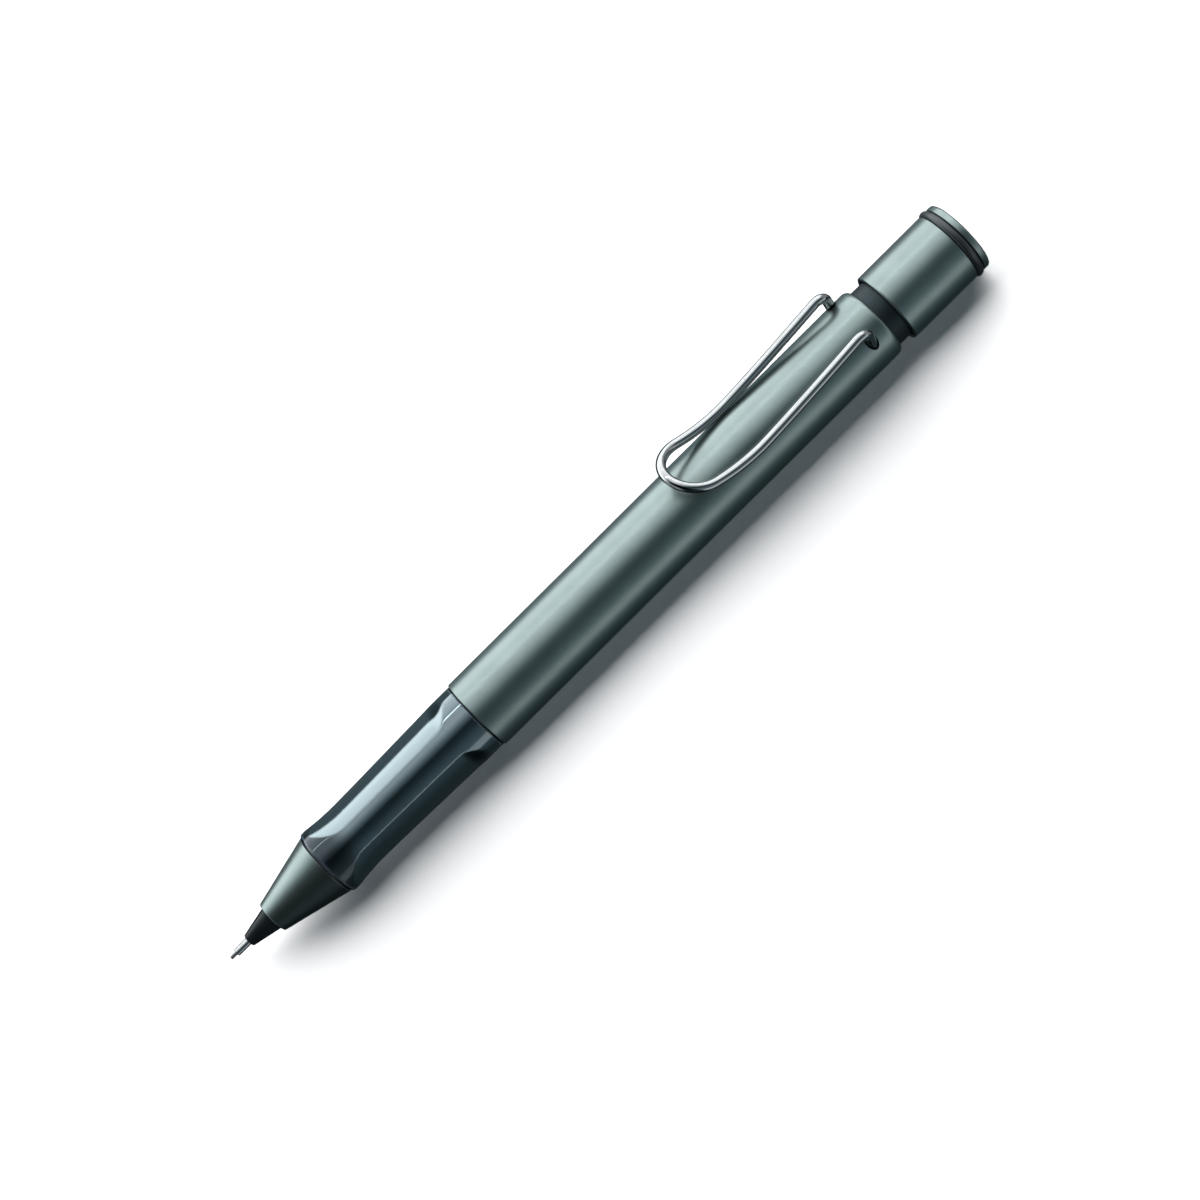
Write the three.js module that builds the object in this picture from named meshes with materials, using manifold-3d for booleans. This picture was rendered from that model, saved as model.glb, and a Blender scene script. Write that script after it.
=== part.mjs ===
// Push-button pencil for thin leads: metal barrel, clear grip, wire clip, push cap.
// Millimetres, +Z up. The pencil lies along X with its point towards -X and its clip up.
// Every piece is drawn in the pencil's own line: X is the distance from the lead's point,
// Z the height above the pencil's axis. The last group puts that line on the table.
import * as THREE from 'three';
import { mergeVertices } from 'three/addons/utils/BufferGeometryUtils.js';
import Module from 'manifold-3d';

const wasm = await Module();
wasm.setup();

// ---- outside lengths, from the point to the end of the cap ----
const LEAD_SHOWN = 1.03;
const PIPE_SHOWN = 2.32;
const TIP_LENGTH = 4.55;
const NOSE_LENGTH = 10.2;
const GRIP_LENGTH = 28.45;
const GRIP_FRONT_GAP = 0.1;
const GRIP_REAR_GAP = 0.15;
const BARREL_LENGTH = 75.8;
const PUSH_TRAVEL = 1.5;
const CAP_STOP_GAP = 0.7;
const CAP_LENGTH = 11.8;
const RING_WIDTH = 1.3;
const DISC_THICKNESS = 1.1;

// ---- radii and walls ----
const LEAD_RADIUS = 0.25;
const PIPE_WALL = 0.22;
const TIP_FRONT_RADIUS = 0.95;
const TIP_REAR_RADIUS = 1.9;
const NOSE_FRONT_RADIUS = 2.47;
const NOSE_REAR_STEP = 0.64;
const BARREL_RADIUS = 5.575;
const BARREL_WALL = 0.725;
const CAP_WALL = 0.55;
const GRIP_WALL = 0.65;
const GRIP_WAIST_INSET = 0.67;
const RING_PROUD = 0.3;
const RING_DEPTH = 1.24;
const DISC_PROUD = 0.03;

// ---- fits ----
const SEAT_GAP = 0.05;
const RUNNING_GAP = 0.1;
const END_GAP = 0.15;
const LEAD_GAP = 0.02;

// ---- clip ----
const CLIP_WIRE_RADIUS = 0.725;
const CLIP_HALF_SPACING = 4.33;
const CLIP_BEND_RADIUS = 1.3;
const CLIP_HOLE_FROM_END = 3.1;
const CLIP_WAIST_FROM_HOLE = 20.3;
const CLIP_LOOP_FROM_HOLE = 32.3;
const CLIP_RISE_FRONT = 0.03;
const CLIP_RISE_REAR = 0.058;
const CLIP_RISE_REAR_POWER = 1.25;
const CLIP_BARREL_GAP = 0.06;
const CLIP_HOLE_GAP = 0.225;
const CLIP_FOOT_DEPTH = 1.5;
const CLIP_HOLE_DEPTH = 1.9;

// ---- finger flats on the grip: each one is a middle facet between two leaning facets ----
const FLAT_DEPTH = 0.27;
const FLAT_RAMP_FRONT = 4.3;
const FLAT_RAMP_REAR = 2.6;
const FLAT_FROM_ENDS = 0.3;
const FLAT_RIDGE_TURN = 30;
const FLAT_HALF_ANGLE = 60;
const FACET_LEAN = 22;
const FACET_LIFT = 0.12;

// ---- mechanism ----
const HOUSING_WALL = 0.9;
const HOUSING_LENGTH = 45.8;
const HOUSING_FRONT_WALL = 0.4;
const CLUTCH_BORE = 2.0;
const RING_TRAVEL = 0.6;
const CLUTCH_RING_LENGTH = 2.6;
const CLUTCH_RING_BORE = 1.2;
const JAW_HEAD_RADIUS = 1.35;
const JAW_HEAD_LENGTH = 1.2;
const JAW_TAPER_LENGTH = 1.6;
const JAW_LENGTH = 7.6;
const JAW_SLIT = 0.24;
const STEM_RADIUS = 1.0;
const STEM_BORE = 0.45;
const SPRING_LENGTH = 12.6;
const SPRING_WIRE_RADIUS = 0.2;
const SPRING_TURNS = 9;
const SPRING_SIDE_GAP = 0.4;
const SHOULDER_THICKNESS = 1.2;
const MAGAZINE_RADIUS = 1.9;
const MAGAZINE_BORE = 1.35;
const MAGAZINE_MOUTH_RADIUS = 2.55;
const MAGAZINE_MOUTH_LENGTH = 16;
const LEAD_LENGTH = 60;
const SPARE_LEADS = 3;
const SPARE_LEAD_OFFSET = 0.85;
const ERASER_RADIUS = 2.4;
const ERASER_LENGTH = 10.6;
const HOLDER_WALL = 0.45;
const HOLDER_CUP_LENGTH = 7.5;
const HOLDER_PLUG_LENGTH = 6;
const HOLDER_FLANGE_FROM_END = 1;
const HOLDER_FLOOR = 1.5;
const NEEDLE_RADIUS = 0.2;
const NEEDLE_LENGTH = 23;
const COLLAR_LENGTH = 15;
const COLLAR_INSIDE_CAP = 2.3;
const RETAINER_LENGTH = 2.2;

// ---- how finely round things are faceted ----
const ROUND = 32;
const SMALL_ROUND = 20;
const WIRE_SIDES = 10;

// ---- stations along the pencil, worked out from the lengths ----
const TIP_START = LEAD_SHOWN + PIPE_SHOWN;
const NOSE_START = TIP_START + TIP_LENGTH;
const NOSE_END = NOSE_START + NOSE_LENGTH;
const GRIP_START = NOSE_END + GRIP_FRONT_GAP;
const GRIP_END = GRIP_START + GRIP_LENGTH;
const BARREL_START = GRIP_END + GRIP_REAR_GAP;
const BARREL_END = BARREL_START + BARREL_LENGTH;
const CAP_START = BARREL_END + PUSH_TRAVEL + CAP_STOP_GAP;
const CAP_END = CAP_START + CAP_LENGTH;
const DISC_START = CAP_END + RING_WIDTH;
const LENGTH = DISC_START + DISC_THICKNESS;

// ---- radii that follow from the others ----
const BARREL_BORE = BARREL_RADIUS - BARREL_WALL;
const COLLAR_RADIUS = BARREL_BORE - SEAT_GAP;
const CAP_BORE = BARREL_RADIUS - CAP_WALL;
const DISC_RADIUS = BARREL_RADIUS + DISC_PROUD;
const RING_RADIUS = BARREL_RADIUS + RING_PROUD;
const NOSE_REAR_RADIUS = BARREL_RADIUS - NOSE_REAR_STEP;
const GRIP_WAIST_RADIUS = BARREL_RADIUS - GRIP_WAIST_INSET;
const GRIP_BORE = GRIP_WAIST_RADIUS - GRIP_WALL;
const SLEEVE_RADIUS = GRIP_BORE - SEAT_GAP;
const HOUSING_BORE = MAGAZINE_RADIUS + SPRING_SIDE_GAP;
const HOUSING_RADIUS = HOUSING_BORE + HOUSING_WALL;
const SLEEVE_BORE = HOUSING_RADIUS + RUNNING_GAP;
const NOSE_SPIGOT_RADIUS = (SLEEVE_BORE + SLEEVE_RADIUS) / 2;
const PIPE_RADIUS = LEAD_RADIUS + LEAD_GAP * 2 + PIPE_WALL;
const HOLDER_RADIUS = ERASER_RADIUS + SEAT_GAP + HOLDER_WALL;
const COLLAR_BORE = HOLDER_RADIUS + RUNNING_GAP * 3;
const HOUSING_FRONT_RADIUS = CLUTCH_BORE + HOUSING_FRONT_WALL;

// ---- materials ----
function material(name, color, roughness, metalness, extra = {}) {
  return new THREE.MeshStandardMaterial({ name, color, roughness, metalness, ...extra });
}

const satinMetal = material('satin_metal', 0x8b9a9b, 0.42, 1);
const chrome = material('chrome', 0xdcdfe0, 0.06, 1);
const smokePlastic = material('smoke_plastic', 0x4a5a68, 0.08, 0, { transparent: true, opacity: 0.5 });
const glossBlack = material('gloss_black', 0x0c0f12, 0.12, 0);
const mattBlack = material('matt_black', 0x202a2d, 0.6, 0);
const rubber = material('rubber', 0x121517, 0.5, 0);
const steel = material('steel', 0xb9bec0, 0.2, 1);
const brass = material('brass', 0xb08d4a, 0.35, 1);
const graphite = material('graphite', 0x3a3d41, 0.45, 0.2);
const eraserWhite = material('eraser_white', 0xe9e7e0, 0.8, 0);

// ---- shapes ----
// A turned piece: its outline is a list of [distance along the pencil, radius] that starts and
// ends on the axis, or is a closed loop whose last point leads back to its first. The outside
// runs towards the cap and the bore runs back, which keeps the faces pointing out.
function turned(outline, sides = ROUND) {
  const points = outline.map(([along, radius]) => new THREE.Vector2(radius, along));
  const hollow = outline[0][1] > 0;
  if (hollow) {
    points.push(points[0].clone());
  }
  const geometry = new THREE.LatheGeometry(points, sides);
  geometry.rotateZ(-Math.PI / 2);
  geometry.rotateX(Math.PI / sides);
  return geometry;
}

// A tube along any curve, closed at both ends.
function wire(curve, radius, steps, sides = WIRE_SIDES) {
  const section = new THREE.Shape();
  section.absarc(0, 0, radius, 0, Math.PI * 2);
  return new THREE.ExtrudeGeometry(section, { steps, curveSegments: sides / 2, extrudePath: curve });
}

function solid(geometry) {
  const bare = geometry.clone();
  bare.deleteAttribute('normal');
  bare.deleteAttribute('uv');
  const merged = mergeVertices(bare, 1e-5);
  return new wasm.Manifold(new wasm.Mesh({
    numProp: 3,
    vertProperties: merged.attributes.position.array,
    triVerts: merged.index.array,
  }));
}

function geometryOf(body) {
  const mesh = body.getMesh();
  const geometry = new THREE.BufferGeometry();
  geometry.setAttribute('position', new THREE.BufferAttribute(mesh.vertProperties, 3));
  geometry.setIndex(new THREE.BufferAttribute(mesh.triVerts, 1));
  geometry.computeVertexNormals();
  return geometry;
}

const line = new THREE.Group();

function add(name, geometry, finish) {
  const mesh = new THREE.Mesh(geometry, finish);
  mesh.name = name;
  line.add(mesh);
  return mesh;
}

// ---- point: lead, pipe, tip and retainer ----
const SPIGOT_END = NOSE_START + 7.45;
const TIP_FLANGE_START = NOSE_START + 1.1;
const HOUSING_START = TIP_FLANGE_START + 1.2;
const RETAINER_START = TIP_START + 3.85;
const RETAINER_RADIUS = LEAD_RADIUS + 0.9;

function addPoint() {
  add('lead', turned([[0, 0], [0, LEAD_RADIUS], [LEAD_LENGTH, LEAD_RADIUS], [LEAD_LENGTH, 0]], 12), graphite);

  const pipeBore = LEAD_RADIUS + LEAD_GAP * 2;
  const pipeEnd = RETAINER_START - END_GAP;
  add('lead_pipe', turned([
    [LEAD_SHOWN, pipeBore],
    [LEAD_SHOWN, PIPE_RADIUS],
    [pipeEnd, PIPE_RADIUS],
    [pipeEnd, pipeBore],
  ], SMALL_ROUND), steel);

  const retainerEnd = RETAINER_START + RETAINER_LENGTH;
  const retainerBore = LEAD_RADIUS + LEAD_GAP;
  add('lead_retainer', turned([
    [RETAINER_START, retainerBore],
    [RETAINER_START, RETAINER_RADIUS],
    [retainerEnd, RETAINER_RADIUS],
    [retainerEnd, retainerBore],
  ], SMALL_ROUND), rubber);

  const pipeSeat = PIPE_RADIUS + SEAT_GAP / 2;
  const pocket = RETAINER_RADIUS + SEAT_GAP;
  const pocketEnd = retainerEnd + 0.2;
  const spigot = CLUTCH_BORE - SEAT_GAP;
  const mouth = spigot - 0.3;
  const flange = NOSE_FRONT_RADIUS - 0.07;
  const edge = 0.2;
  add('tip_cone', turned([
    [TIP_START, pipeSeat],
    [TIP_START, TIP_FRONT_RADIUS - edge],
    [TIP_START + edge, TIP_FRONT_RADIUS],
    [NOSE_START, TIP_REAR_RADIUS],
    [TIP_FLANGE_START, TIP_REAR_RADIUS],
    [TIP_FLANGE_START, flange],
    [TIP_FLANGE_START + 1, flange],
    [TIP_FLANGE_START + 1, spigot],
    [SPIGOT_END, spigot],
    [SPIGOT_END, mouth],
    [pocketEnd + 0.2, mouth],
    [pocketEnd, pocket],
    [RETAINER_START - 0.05, pocket],
    [RETAINER_START - 0.05, pipeSeat],
  ]), glossBlack);
}

// ---- nose: the metal cone that traps the tip and screws into the sleeve ----
const NOSE_SPIGOT_END = NOSE_END + 4.4;

function addNose() {
  const slope = (NOSE_REAR_RADIUS - NOSE_FRONT_RADIUS) / NOSE_LENGTH;
  const radiusAt = (station) => NOSE_FRONT_RADIUS + slope * (station - NOSE_START);
  const chamfer = 0.22;
  const lipEnd = TIP_FLANGE_START - END_GAP;
  const coneStart = HOUSING_START + 3.5;
  const coneEnd = coneStart + 1.2;
  add('nose_cone', turned([
    [NOSE_START, TIP_REAR_RADIUS + SEAT_GAP],
    [NOSE_START, NOSE_FRONT_RADIUS - chamfer],
    [NOSE_START + chamfer, radiusAt(NOSE_START + chamfer)],
    [NOSE_END, NOSE_REAR_RADIUS],
    [NOSE_END, NOSE_SPIGOT_RADIUS],
    [NOSE_SPIGOT_END, NOSE_SPIGOT_RADIUS],
    [NOSE_SPIGOT_END, SLEEVE_BORE],
    [coneEnd, SLEEVE_BORE],
    [coneStart, HOUSING_FRONT_RADIUS + SEAT_GAP],
    [lipEnd, HOUSING_FRONT_RADIUS + SEAT_GAP],
    [lipEnd, TIP_REAR_RADIUS + SEAT_GAP],
  ]), satinMetal);
}

// ---- grip: clear sleeve with two finger flats ----
// The outline lists how far each place lies inside the barrel's radius.
const GRIP_OUTLINE = [
  [0, 0.56],
  [0.25, 0.35],
  [0.9, 0.22],
  [2.8, 0.435],
  [4.4, 0.605],
  [6.0, GRIP_WAIST_INSET],
  [9.3, 0.605],
  [17.4, 0.395],
  [24.0, 0.295],
  [25.5, 0.225],
  [28.2, 0.135],
  [28.45, 0.335],
];

function facetCutter(lift) {
  const front = FLAT_FROM_ENDS;
  const rear = GRIP_LENGTH - FLAT_FROM_ENDS;
  const floorFront = GRIP_WAIST_RADIUS - FLAT_DEPTH + lift;
  const floorRear = floorFront + 0.34;
  const above = BARREL_RADIUS + 2;
  const shape = new THREE.Shape();
  shape.moveTo(front, above);
  shape.lineTo(front, BARREL_RADIUS);
  shape.lineTo(front + FLAT_RAMP_FRONT, floorFront);
  shape.lineTo(rear - FLAT_RAMP_REAR, floorRear);
  shape.lineTo(rear, BARREL_RADIUS);
  shape.lineTo(rear, above);
  shape.closePath();
  const width = BARREL_RADIUS * 2;
  const geometry = new THREE.ExtrudeGeometry(shape, { depth: width, bevelEnabled: false });
  geometry.translate(GRIP_START, 0, -width / 2);
  geometry.rotateX(Math.PI / 2);
  return geometry;
}

function addGrip() {
  const outside = GRIP_OUTLINE.map(([along, inset]) => [GRIP_START + along, BARREL_RADIUS - inset]);
  let grip = solid(turned([[GRIP_START, GRIP_BORE], ...outside, [GRIP_END, GRIP_BORE]]));
  for (const side of [-1, 1]) {
    for (const lean of [-1, 0, 1]) {
      const turn = FLAT_RIDGE_TURN + side * FLAT_HALF_ANGLE + lean * FACET_LEAN;
      const cutter = facetCutter(FACET_LIFT * Math.abs(lean));
      cutter.rotateX(THREE.MathUtils.degToRad(turn));
      grip = grip.subtract(solid(cutter));
    }
  }
  add('grip_section', geometryOf(grip), smokePlastic);
}

// ---- sleeve: joins nose, grip and barrel ----
const SLEEVE_END = BARREL_START + 10.5;

function addSleeve() {
  const front = GRIP_START + END_GAP;
  const noseSeat = NOSE_SPIGOT_RADIUS + SEAT_GAP;
  add('inner_sleeve', turned([
    [front, noseSeat],
    [front, SLEEVE_RADIUS],
    [BARREL_START + END_GAP, SLEEVE_RADIUS],
    [BARREL_START + END_GAP, COLLAR_RADIUS],
    [SLEEVE_END, COLLAR_RADIUS],
    [SLEEVE_END, SLEEVE_BORE],
    [NOSE_SPIGOT_END + END_GAP, SLEEVE_BORE],
    [NOSE_SPIGOT_END + END_GAP, noseSeat],
  ]), mattBlack);
}

// ---- clutch: housing, ring, jaws, stem and spring ----
const RING_START = SPIGOT_END + RING_TRAVEL + 0.05;
const JAW_START = RING_START - 1.6;
const JAW_END = JAW_START + JAW_LENGTH;
const SHOULDER_START = RING_START + CLUTCH_RING_LENGTH + 1.4;
const SHOULDER_END = SHOULDER_START + SHOULDER_THICKNESS;
const MAGAZINE_START = SHOULDER_END + SPRING_LENGTH + END_GAP;
const HOUSING_END = HOUSING_START + HOUSING_LENGTH;
const STEM_END = MAGAZINE_START + 4;

function addHousing() {
  const coneStart = HOUSING_START + 3.7;
  const coneEnd = coneStart + 1;
  const guide = MAGAZINE_RADIUS + RUNNING_GAP;
  add('mechanism_housing', turned([
    [HOUSING_START, CLUTCH_BORE],
    [HOUSING_START, HOUSING_FRONT_RADIUS],
    [coneStart, HOUSING_FRONT_RADIUS],
    [coneEnd, HOUSING_RADIUS],
    [HOUSING_END, HOUSING_RADIUS],
    [HOUSING_END, guide],
    [HOUSING_END - 2, guide],
    [HOUSING_END - 2.5, HOUSING_BORE],
    [SHOULDER_END, HOUSING_BORE],
    [SHOULDER_END, STEM_RADIUS + 0.3],
    [SHOULDER_START, STEM_RADIUS + 0.3],
    [SHOULDER_START, CLUTCH_BORE],
  ], SMALL_ROUND), mattBlack);
}

function addClutchRing() {
  const outside = CLUTCH_BORE - RUNNING_GAP;
  const end = RING_START + CLUTCH_RING_LENGTH;
  add('clutch_ring', turned([
    [RING_START, CLUTCH_RING_BORE + 0.14],
    [RING_START, outside],
    [end, outside],
    [end, CLUTCH_RING_BORE],
    [RING_START + 0.8, CLUTCH_RING_BORE],
  ], SMALL_ROUND), brass);
}

// Each jaw is a third of the chuck's front, less half a slit on each side.
function jawSector(index) {
  const reach = JAW_HEAD_RADIUS * 3;
  const half = Math.PI / 3;
  const apex = JAW_SLIT / 2 / Math.sin(half);
  const shape = new THREE.Shape();
  shape.moveTo(apex, 0);
  shape.lineTo(apex + reach * Math.cos(half), -reach * Math.sin(half));
  shape.lineTo(apex + reach, -reach);
  shape.lineTo(apex + reach, reach);
  shape.lineTo(apex + reach * Math.cos(half), reach * Math.sin(half));
  shape.closePath();
  const length = JAW_LENGTH + 2;
  const geometry = new THREE.ExtrudeGeometry(shape, { depth: length, bevelEnabled: false });
  geometry.rotateY(Math.PI / 2);
  geometry.translate(JAW_START - 1, 0, 0);
  geometry.rotateX(-index * (2 * Math.PI) / 3);
  return geometry;
}

function addChuck() {
  const gripBore = LEAD_RADIUS + LEAD_GAP;
  const gripEnd = JAW_START + 3;
  const taperStart = JAW_START + JAW_HEAD_LENGTH;
  const whole = solid(turned([
    [JAW_START, gripBore],
    [JAW_START, JAW_HEAD_RADIUS],
    [taperStart, JAW_HEAD_RADIUS],
    [taperStart + JAW_TAPER_LENGTH, STEM_RADIUS],
    [JAW_END, STEM_RADIUS],
    [JAW_END, STEM_BORE],
    [gripEnd, STEM_BORE],
    [gripEnd, gripBore],
  ], 24));
  for (let index = 0; index < 3; index += 1) {
    const jaw = whole.intersect(solid(jawSector(index)));
    add(`chuck_jaw_${index + 1}`, geometryOf(jaw), brass);
  }
  add('chuck_stem', turned([
    [JAW_END + END_GAP, STEM_BORE],
    [JAW_END + END_GAP, STEM_RADIUS],
    [STEM_END, STEM_RADIUS],
    [STEM_END, STEM_BORE],
  ], SMALL_ROUND), brass);
}

class Helix extends THREE.Curve {
  constructor(start, length, radius, turns) {
    super();
    Object.assign(this, { start, length, radius, turns });
  }

  getPoint(t, target = new THREE.Vector3()) {
    const angle = t * this.turns * Math.PI * 2;
    const along = this.start + t * this.length;
    return target.set(along, this.radius * Math.cos(angle), this.radius * Math.sin(angle));
  }
}

function addSpring() {
  const end = SPRING_WIRE_RADIUS * 1.5;
  const radius = STEM_RADIUS + 0.4 + SPRING_WIRE_RADIUS;
  const coil = new Helix(SHOULDER_END + end, SPRING_LENGTH - end * 2, radius, SPRING_TURNS);
  add('chuck_spring', wire(coil, SPRING_WIRE_RADIUS, SPRING_TURNS * 12, 6), steel);
}

// ---- magazine, spare leads, eraser ----
const HOLDER_PLUG_END = BARREL_END - HOLDER_FLANGE_FROM_END;
const MAGAZINE_END = HOLDER_PLUG_END - END_GAP;
const HOLDER_PLUG_START = HOLDER_PLUG_END - HOLDER_PLUG_LENGTH;

function addMagazine() {
  const mouthStart = MAGAZINE_END - MAGAZINE_MOUTH_LENGTH;
  const plugSeat = MAGAZINE_MOUTH_RADIUS - 0.55;
  const plugFloor = HOLDER_PLUG_START - 1;
  add('lead_magazine', turned([
    [MAGAZINE_START, STEM_RADIUS + SEAT_GAP],
    [MAGAZINE_START, MAGAZINE_RADIUS],
    [mouthStart, MAGAZINE_RADIUS],
    [mouthStart + 1, MAGAZINE_MOUTH_RADIUS],
    [MAGAZINE_END, MAGAZINE_MOUTH_RADIUS],
    [MAGAZINE_END, plugSeat],
    [plugFloor, plugSeat],
    [plugFloor - 0.6, MAGAZINE_BORE],
    [STEM_END + 1, MAGAZINE_BORE],
    [STEM_END + 0.3, STEM_RADIUS + SEAT_GAP],
  ], SMALL_ROUND), mattBlack);

  const start = STEM_END + 2;
  for (let index = 0; index < SPARE_LEADS; index += 1) {
    const angle = (index / SPARE_LEADS) * Math.PI * 2 + Math.PI / 6;
    const rod = turned([
      [start, 0],
      [start, LEAD_RADIUS],
      [start + LEAD_LENGTH, LEAD_RADIUS],
      [start + LEAD_LENGTH, 0],
    ], 8);
    const mesh = add(`spare_lead_${index + 1}`, rod, graphite);
    mesh.position.set(0, SPARE_LEAD_OFFSET * Math.cos(angle), SPARE_LEAD_OFFSET * Math.sin(angle));
  }
}

const CUP_FLOOR = HOLDER_PLUG_END + HOLDER_FLOOR;
const CUP_END = CUP_FLOOR + HOLDER_CUP_LENGTH;
const ERASER_START = CUP_FLOOR + END_GAP;

function addEraser() {
  const plug = MAGAZINE_MOUTH_RADIUS - 0.55 - SEAT_GAP;
  const needleSeat = NEEDLE_RADIUS + LEAD_GAP;
  const cupBore = ERASER_RADIUS + SEAT_GAP;
  add('eraser_holder', turned([
    [HOLDER_PLUG_START, needleSeat],
    [HOLDER_PLUG_START, plug],
    [HOLDER_PLUG_END, plug],
    [HOLDER_PLUG_END, HOLDER_RADIUS],
    [CUP_END, HOLDER_RADIUS],
    [CUP_END, cupBore],
    [CUP_FLOOR, cupBore],
    [CUP_FLOOR, needleSeat],
  ], SMALL_ROUND), steel);

  const edge = 0.3;
  const eraserEnd = ERASER_START + ERASER_LENGTH;
  add('eraser', turned([
    [ERASER_START, 0],
    [ERASER_START, ERASER_RADIUS],
    [eraserEnd - edge, ERASER_RADIUS],
    [eraserEnd, ERASER_RADIUS - edge],
    [eraserEnd, 0],
  ], SMALL_ROUND), eraserWhite);

  const needleEnd = CUP_FLOOR - 0.1;
  const needleStart = needleEnd - NEEDLE_LENGTH;
  add('cleaning_needle', turned([
    [needleStart, 0],
    [needleStart + 0.3, NEEDLE_RADIUS],
    [needleEnd, NEEDLE_RADIUS],
    [needleEnd, 0],
  ], 8), steel);
}

// ---- clip: one bent wire with both ends in the barrel ----
const CLIP_HOLE = BARREL_END - CLIP_HOLE_FROM_END;
const CLIP_WAIST = CLIP_HOLE - CLIP_WAIST_FROM_HOLE;
const CLIP_LOOP_CENTRE = CLIP_HOLE - CLIP_LOOP_FROM_HOLE + CLIP_HALF_SPACING;
const CLIP_HOLE_RADIUS = CLIP_WIRE_RADIUS + CLIP_HOLE_GAP;
const WAIST_REACH = BARREL_RADIUS + CLIP_BARREL_GAP + CLIP_WIRE_RADIUS;
const CLIP_WAIST_HEIGHT = Math.sqrt(WAIST_REACH ** 2 - CLIP_HALF_SPACING ** 2);
const BARREL_TOP_AT_HOLE = Math.sqrt(BARREL_RADIUS ** 2 - CLIP_HALF_SPACING ** 2);

function clipHeight(station) {
  const past = station - CLIP_WAIST;
  if (past < 0) {
    return CLIP_WAIST_HEIGHT + CLIP_RISE_FRONT * past ** 2;
  }
  return CLIP_WAIST_HEIGHT + CLIP_RISE_REAR * past ** CLIP_RISE_REAR_POWER;
}

// The points of one leg, from its foot in the barrel to the start of the loop.
function clipLeg(side) {
  const bendCentre = CLIP_HOLE - CLIP_BEND_RADIUS;
  const bendBase = clipHeight(bendCentre) - CLIP_BEND_RADIUS;
  const foot = BARREL_TOP_AT_HOLE - CLIP_FOOT_DEPTH;
  const points = [[CLIP_HOLE, foot], [CLIP_HOLE, (foot + bendBase) / 2]];
  for (let step = 0; step <= 4; step += 1) {
    const angle = (step / 4) * Math.PI / 2;
    points.push([
      bendCentre + CLIP_BEND_RADIUS * Math.cos(angle),
      bendBase + CLIP_BEND_RADIUS * Math.sin(angle),
    ]);
  }
  const legSteps = 12;
  for (let step = 1; step < legSteps; step += 1) {
    const along = THREE.MathUtils.lerp(bendCentre, CLIP_LOOP_CENTRE, step / legSteps);
    points.push([along, clipHeight(along)]);
  }
  return points.map(([x, z]) => new THREE.Vector3(x, side * CLIP_HALF_SPACING, z));
}

function clipPath() {
  const loop = [];
  const loopSteps = 12;
  for (let step = 0; step <= loopSteps; step += 1) {
    const angle = Math.PI / 2 - (step / loopSteps) * Math.PI;
    const x = CLIP_LOOP_CENTRE - CLIP_HALF_SPACING * Math.cos(angle);
    loop.push(new THREE.Vector3(x, CLIP_HALF_SPACING * Math.sin(angle), clipHeight(x)));
  }
  return new THREE.CatmullRomCurve3([...clipLeg(1), ...loop, ...clipLeg(-1).reverse()], false, 'centripetal');
}

function clipHoles(piece) {
  const depth = BARREL_TOP_AT_HOLE - CLIP_HOLE_DEPTH;
  const top = BARREL_RADIUS + 1;
  let left = piece;
  for (const side of [-1, 1]) {
    const drill = new THREE.CylinderGeometry(CLIP_HOLE_RADIUS, CLIP_HOLE_RADIUS, top - depth, SMALL_ROUND);
    drill.rotateX(Math.PI / 2);
    drill.translate(CLIP_HOLE, side * CLIP_HALF_SPACING, (top + depth) / 2);
    left = left.subtract(solid(drill));
  }
  return left;
}

// ---- barrel and the collar in its end ----
function addBarrel() {
  const edge = 0.12;
  const crown = 0.675;
  const tube = turned([
    [BARREL_START, BARREL_BORE],
    [BARREL_START, BARREL_RADIUS - edge],
    [BARREL_START + edge, BARREL_RADIUS],
    [BARREL_END - 0.9, BARREL_RADIUS],
    [BARREL_END - 0.45, BARREL_RADIUS - crown * 0.25],
    [BARREL_END - 0.12, BARREL_RADIUS - crown * 0.65],
    [BARREL_END, BARREL_RADIUS - crown],
    [BARREL_END, BARREL_BORE],
  ]);
  add('barrel', geometryOf(clipHoles(solid(tube))), satinMetal);

  const start = BARREL_END + PUSH_TRAVEL + CAP_STOP_GAP + COLLAR_INSIDE_CAP - COLLAR_LENGTH;
  const end = start + COLLAR_LENGTH;
  const web = 2;
  const webBore = MAGAZINE_MOUTH_RADIUS + RUNNING_GAP + 0.05;
  const collar = turned([
    [start, webBore],
    [start, COLLAR_RADIUS],
    [end, COLLAR_RADIUS],
    [end, COLLAR_BORE],
    [start + web, COLLAR_BORE],
    [start + web, webBore],
  ]);
  add('neck_collar', geometryOf(clipHoles(solid(collar))), mattBlack);
  add('clip', wire(clipPath(), CLIP_WIRE_RADIUS, 90), chrome);
}

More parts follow.
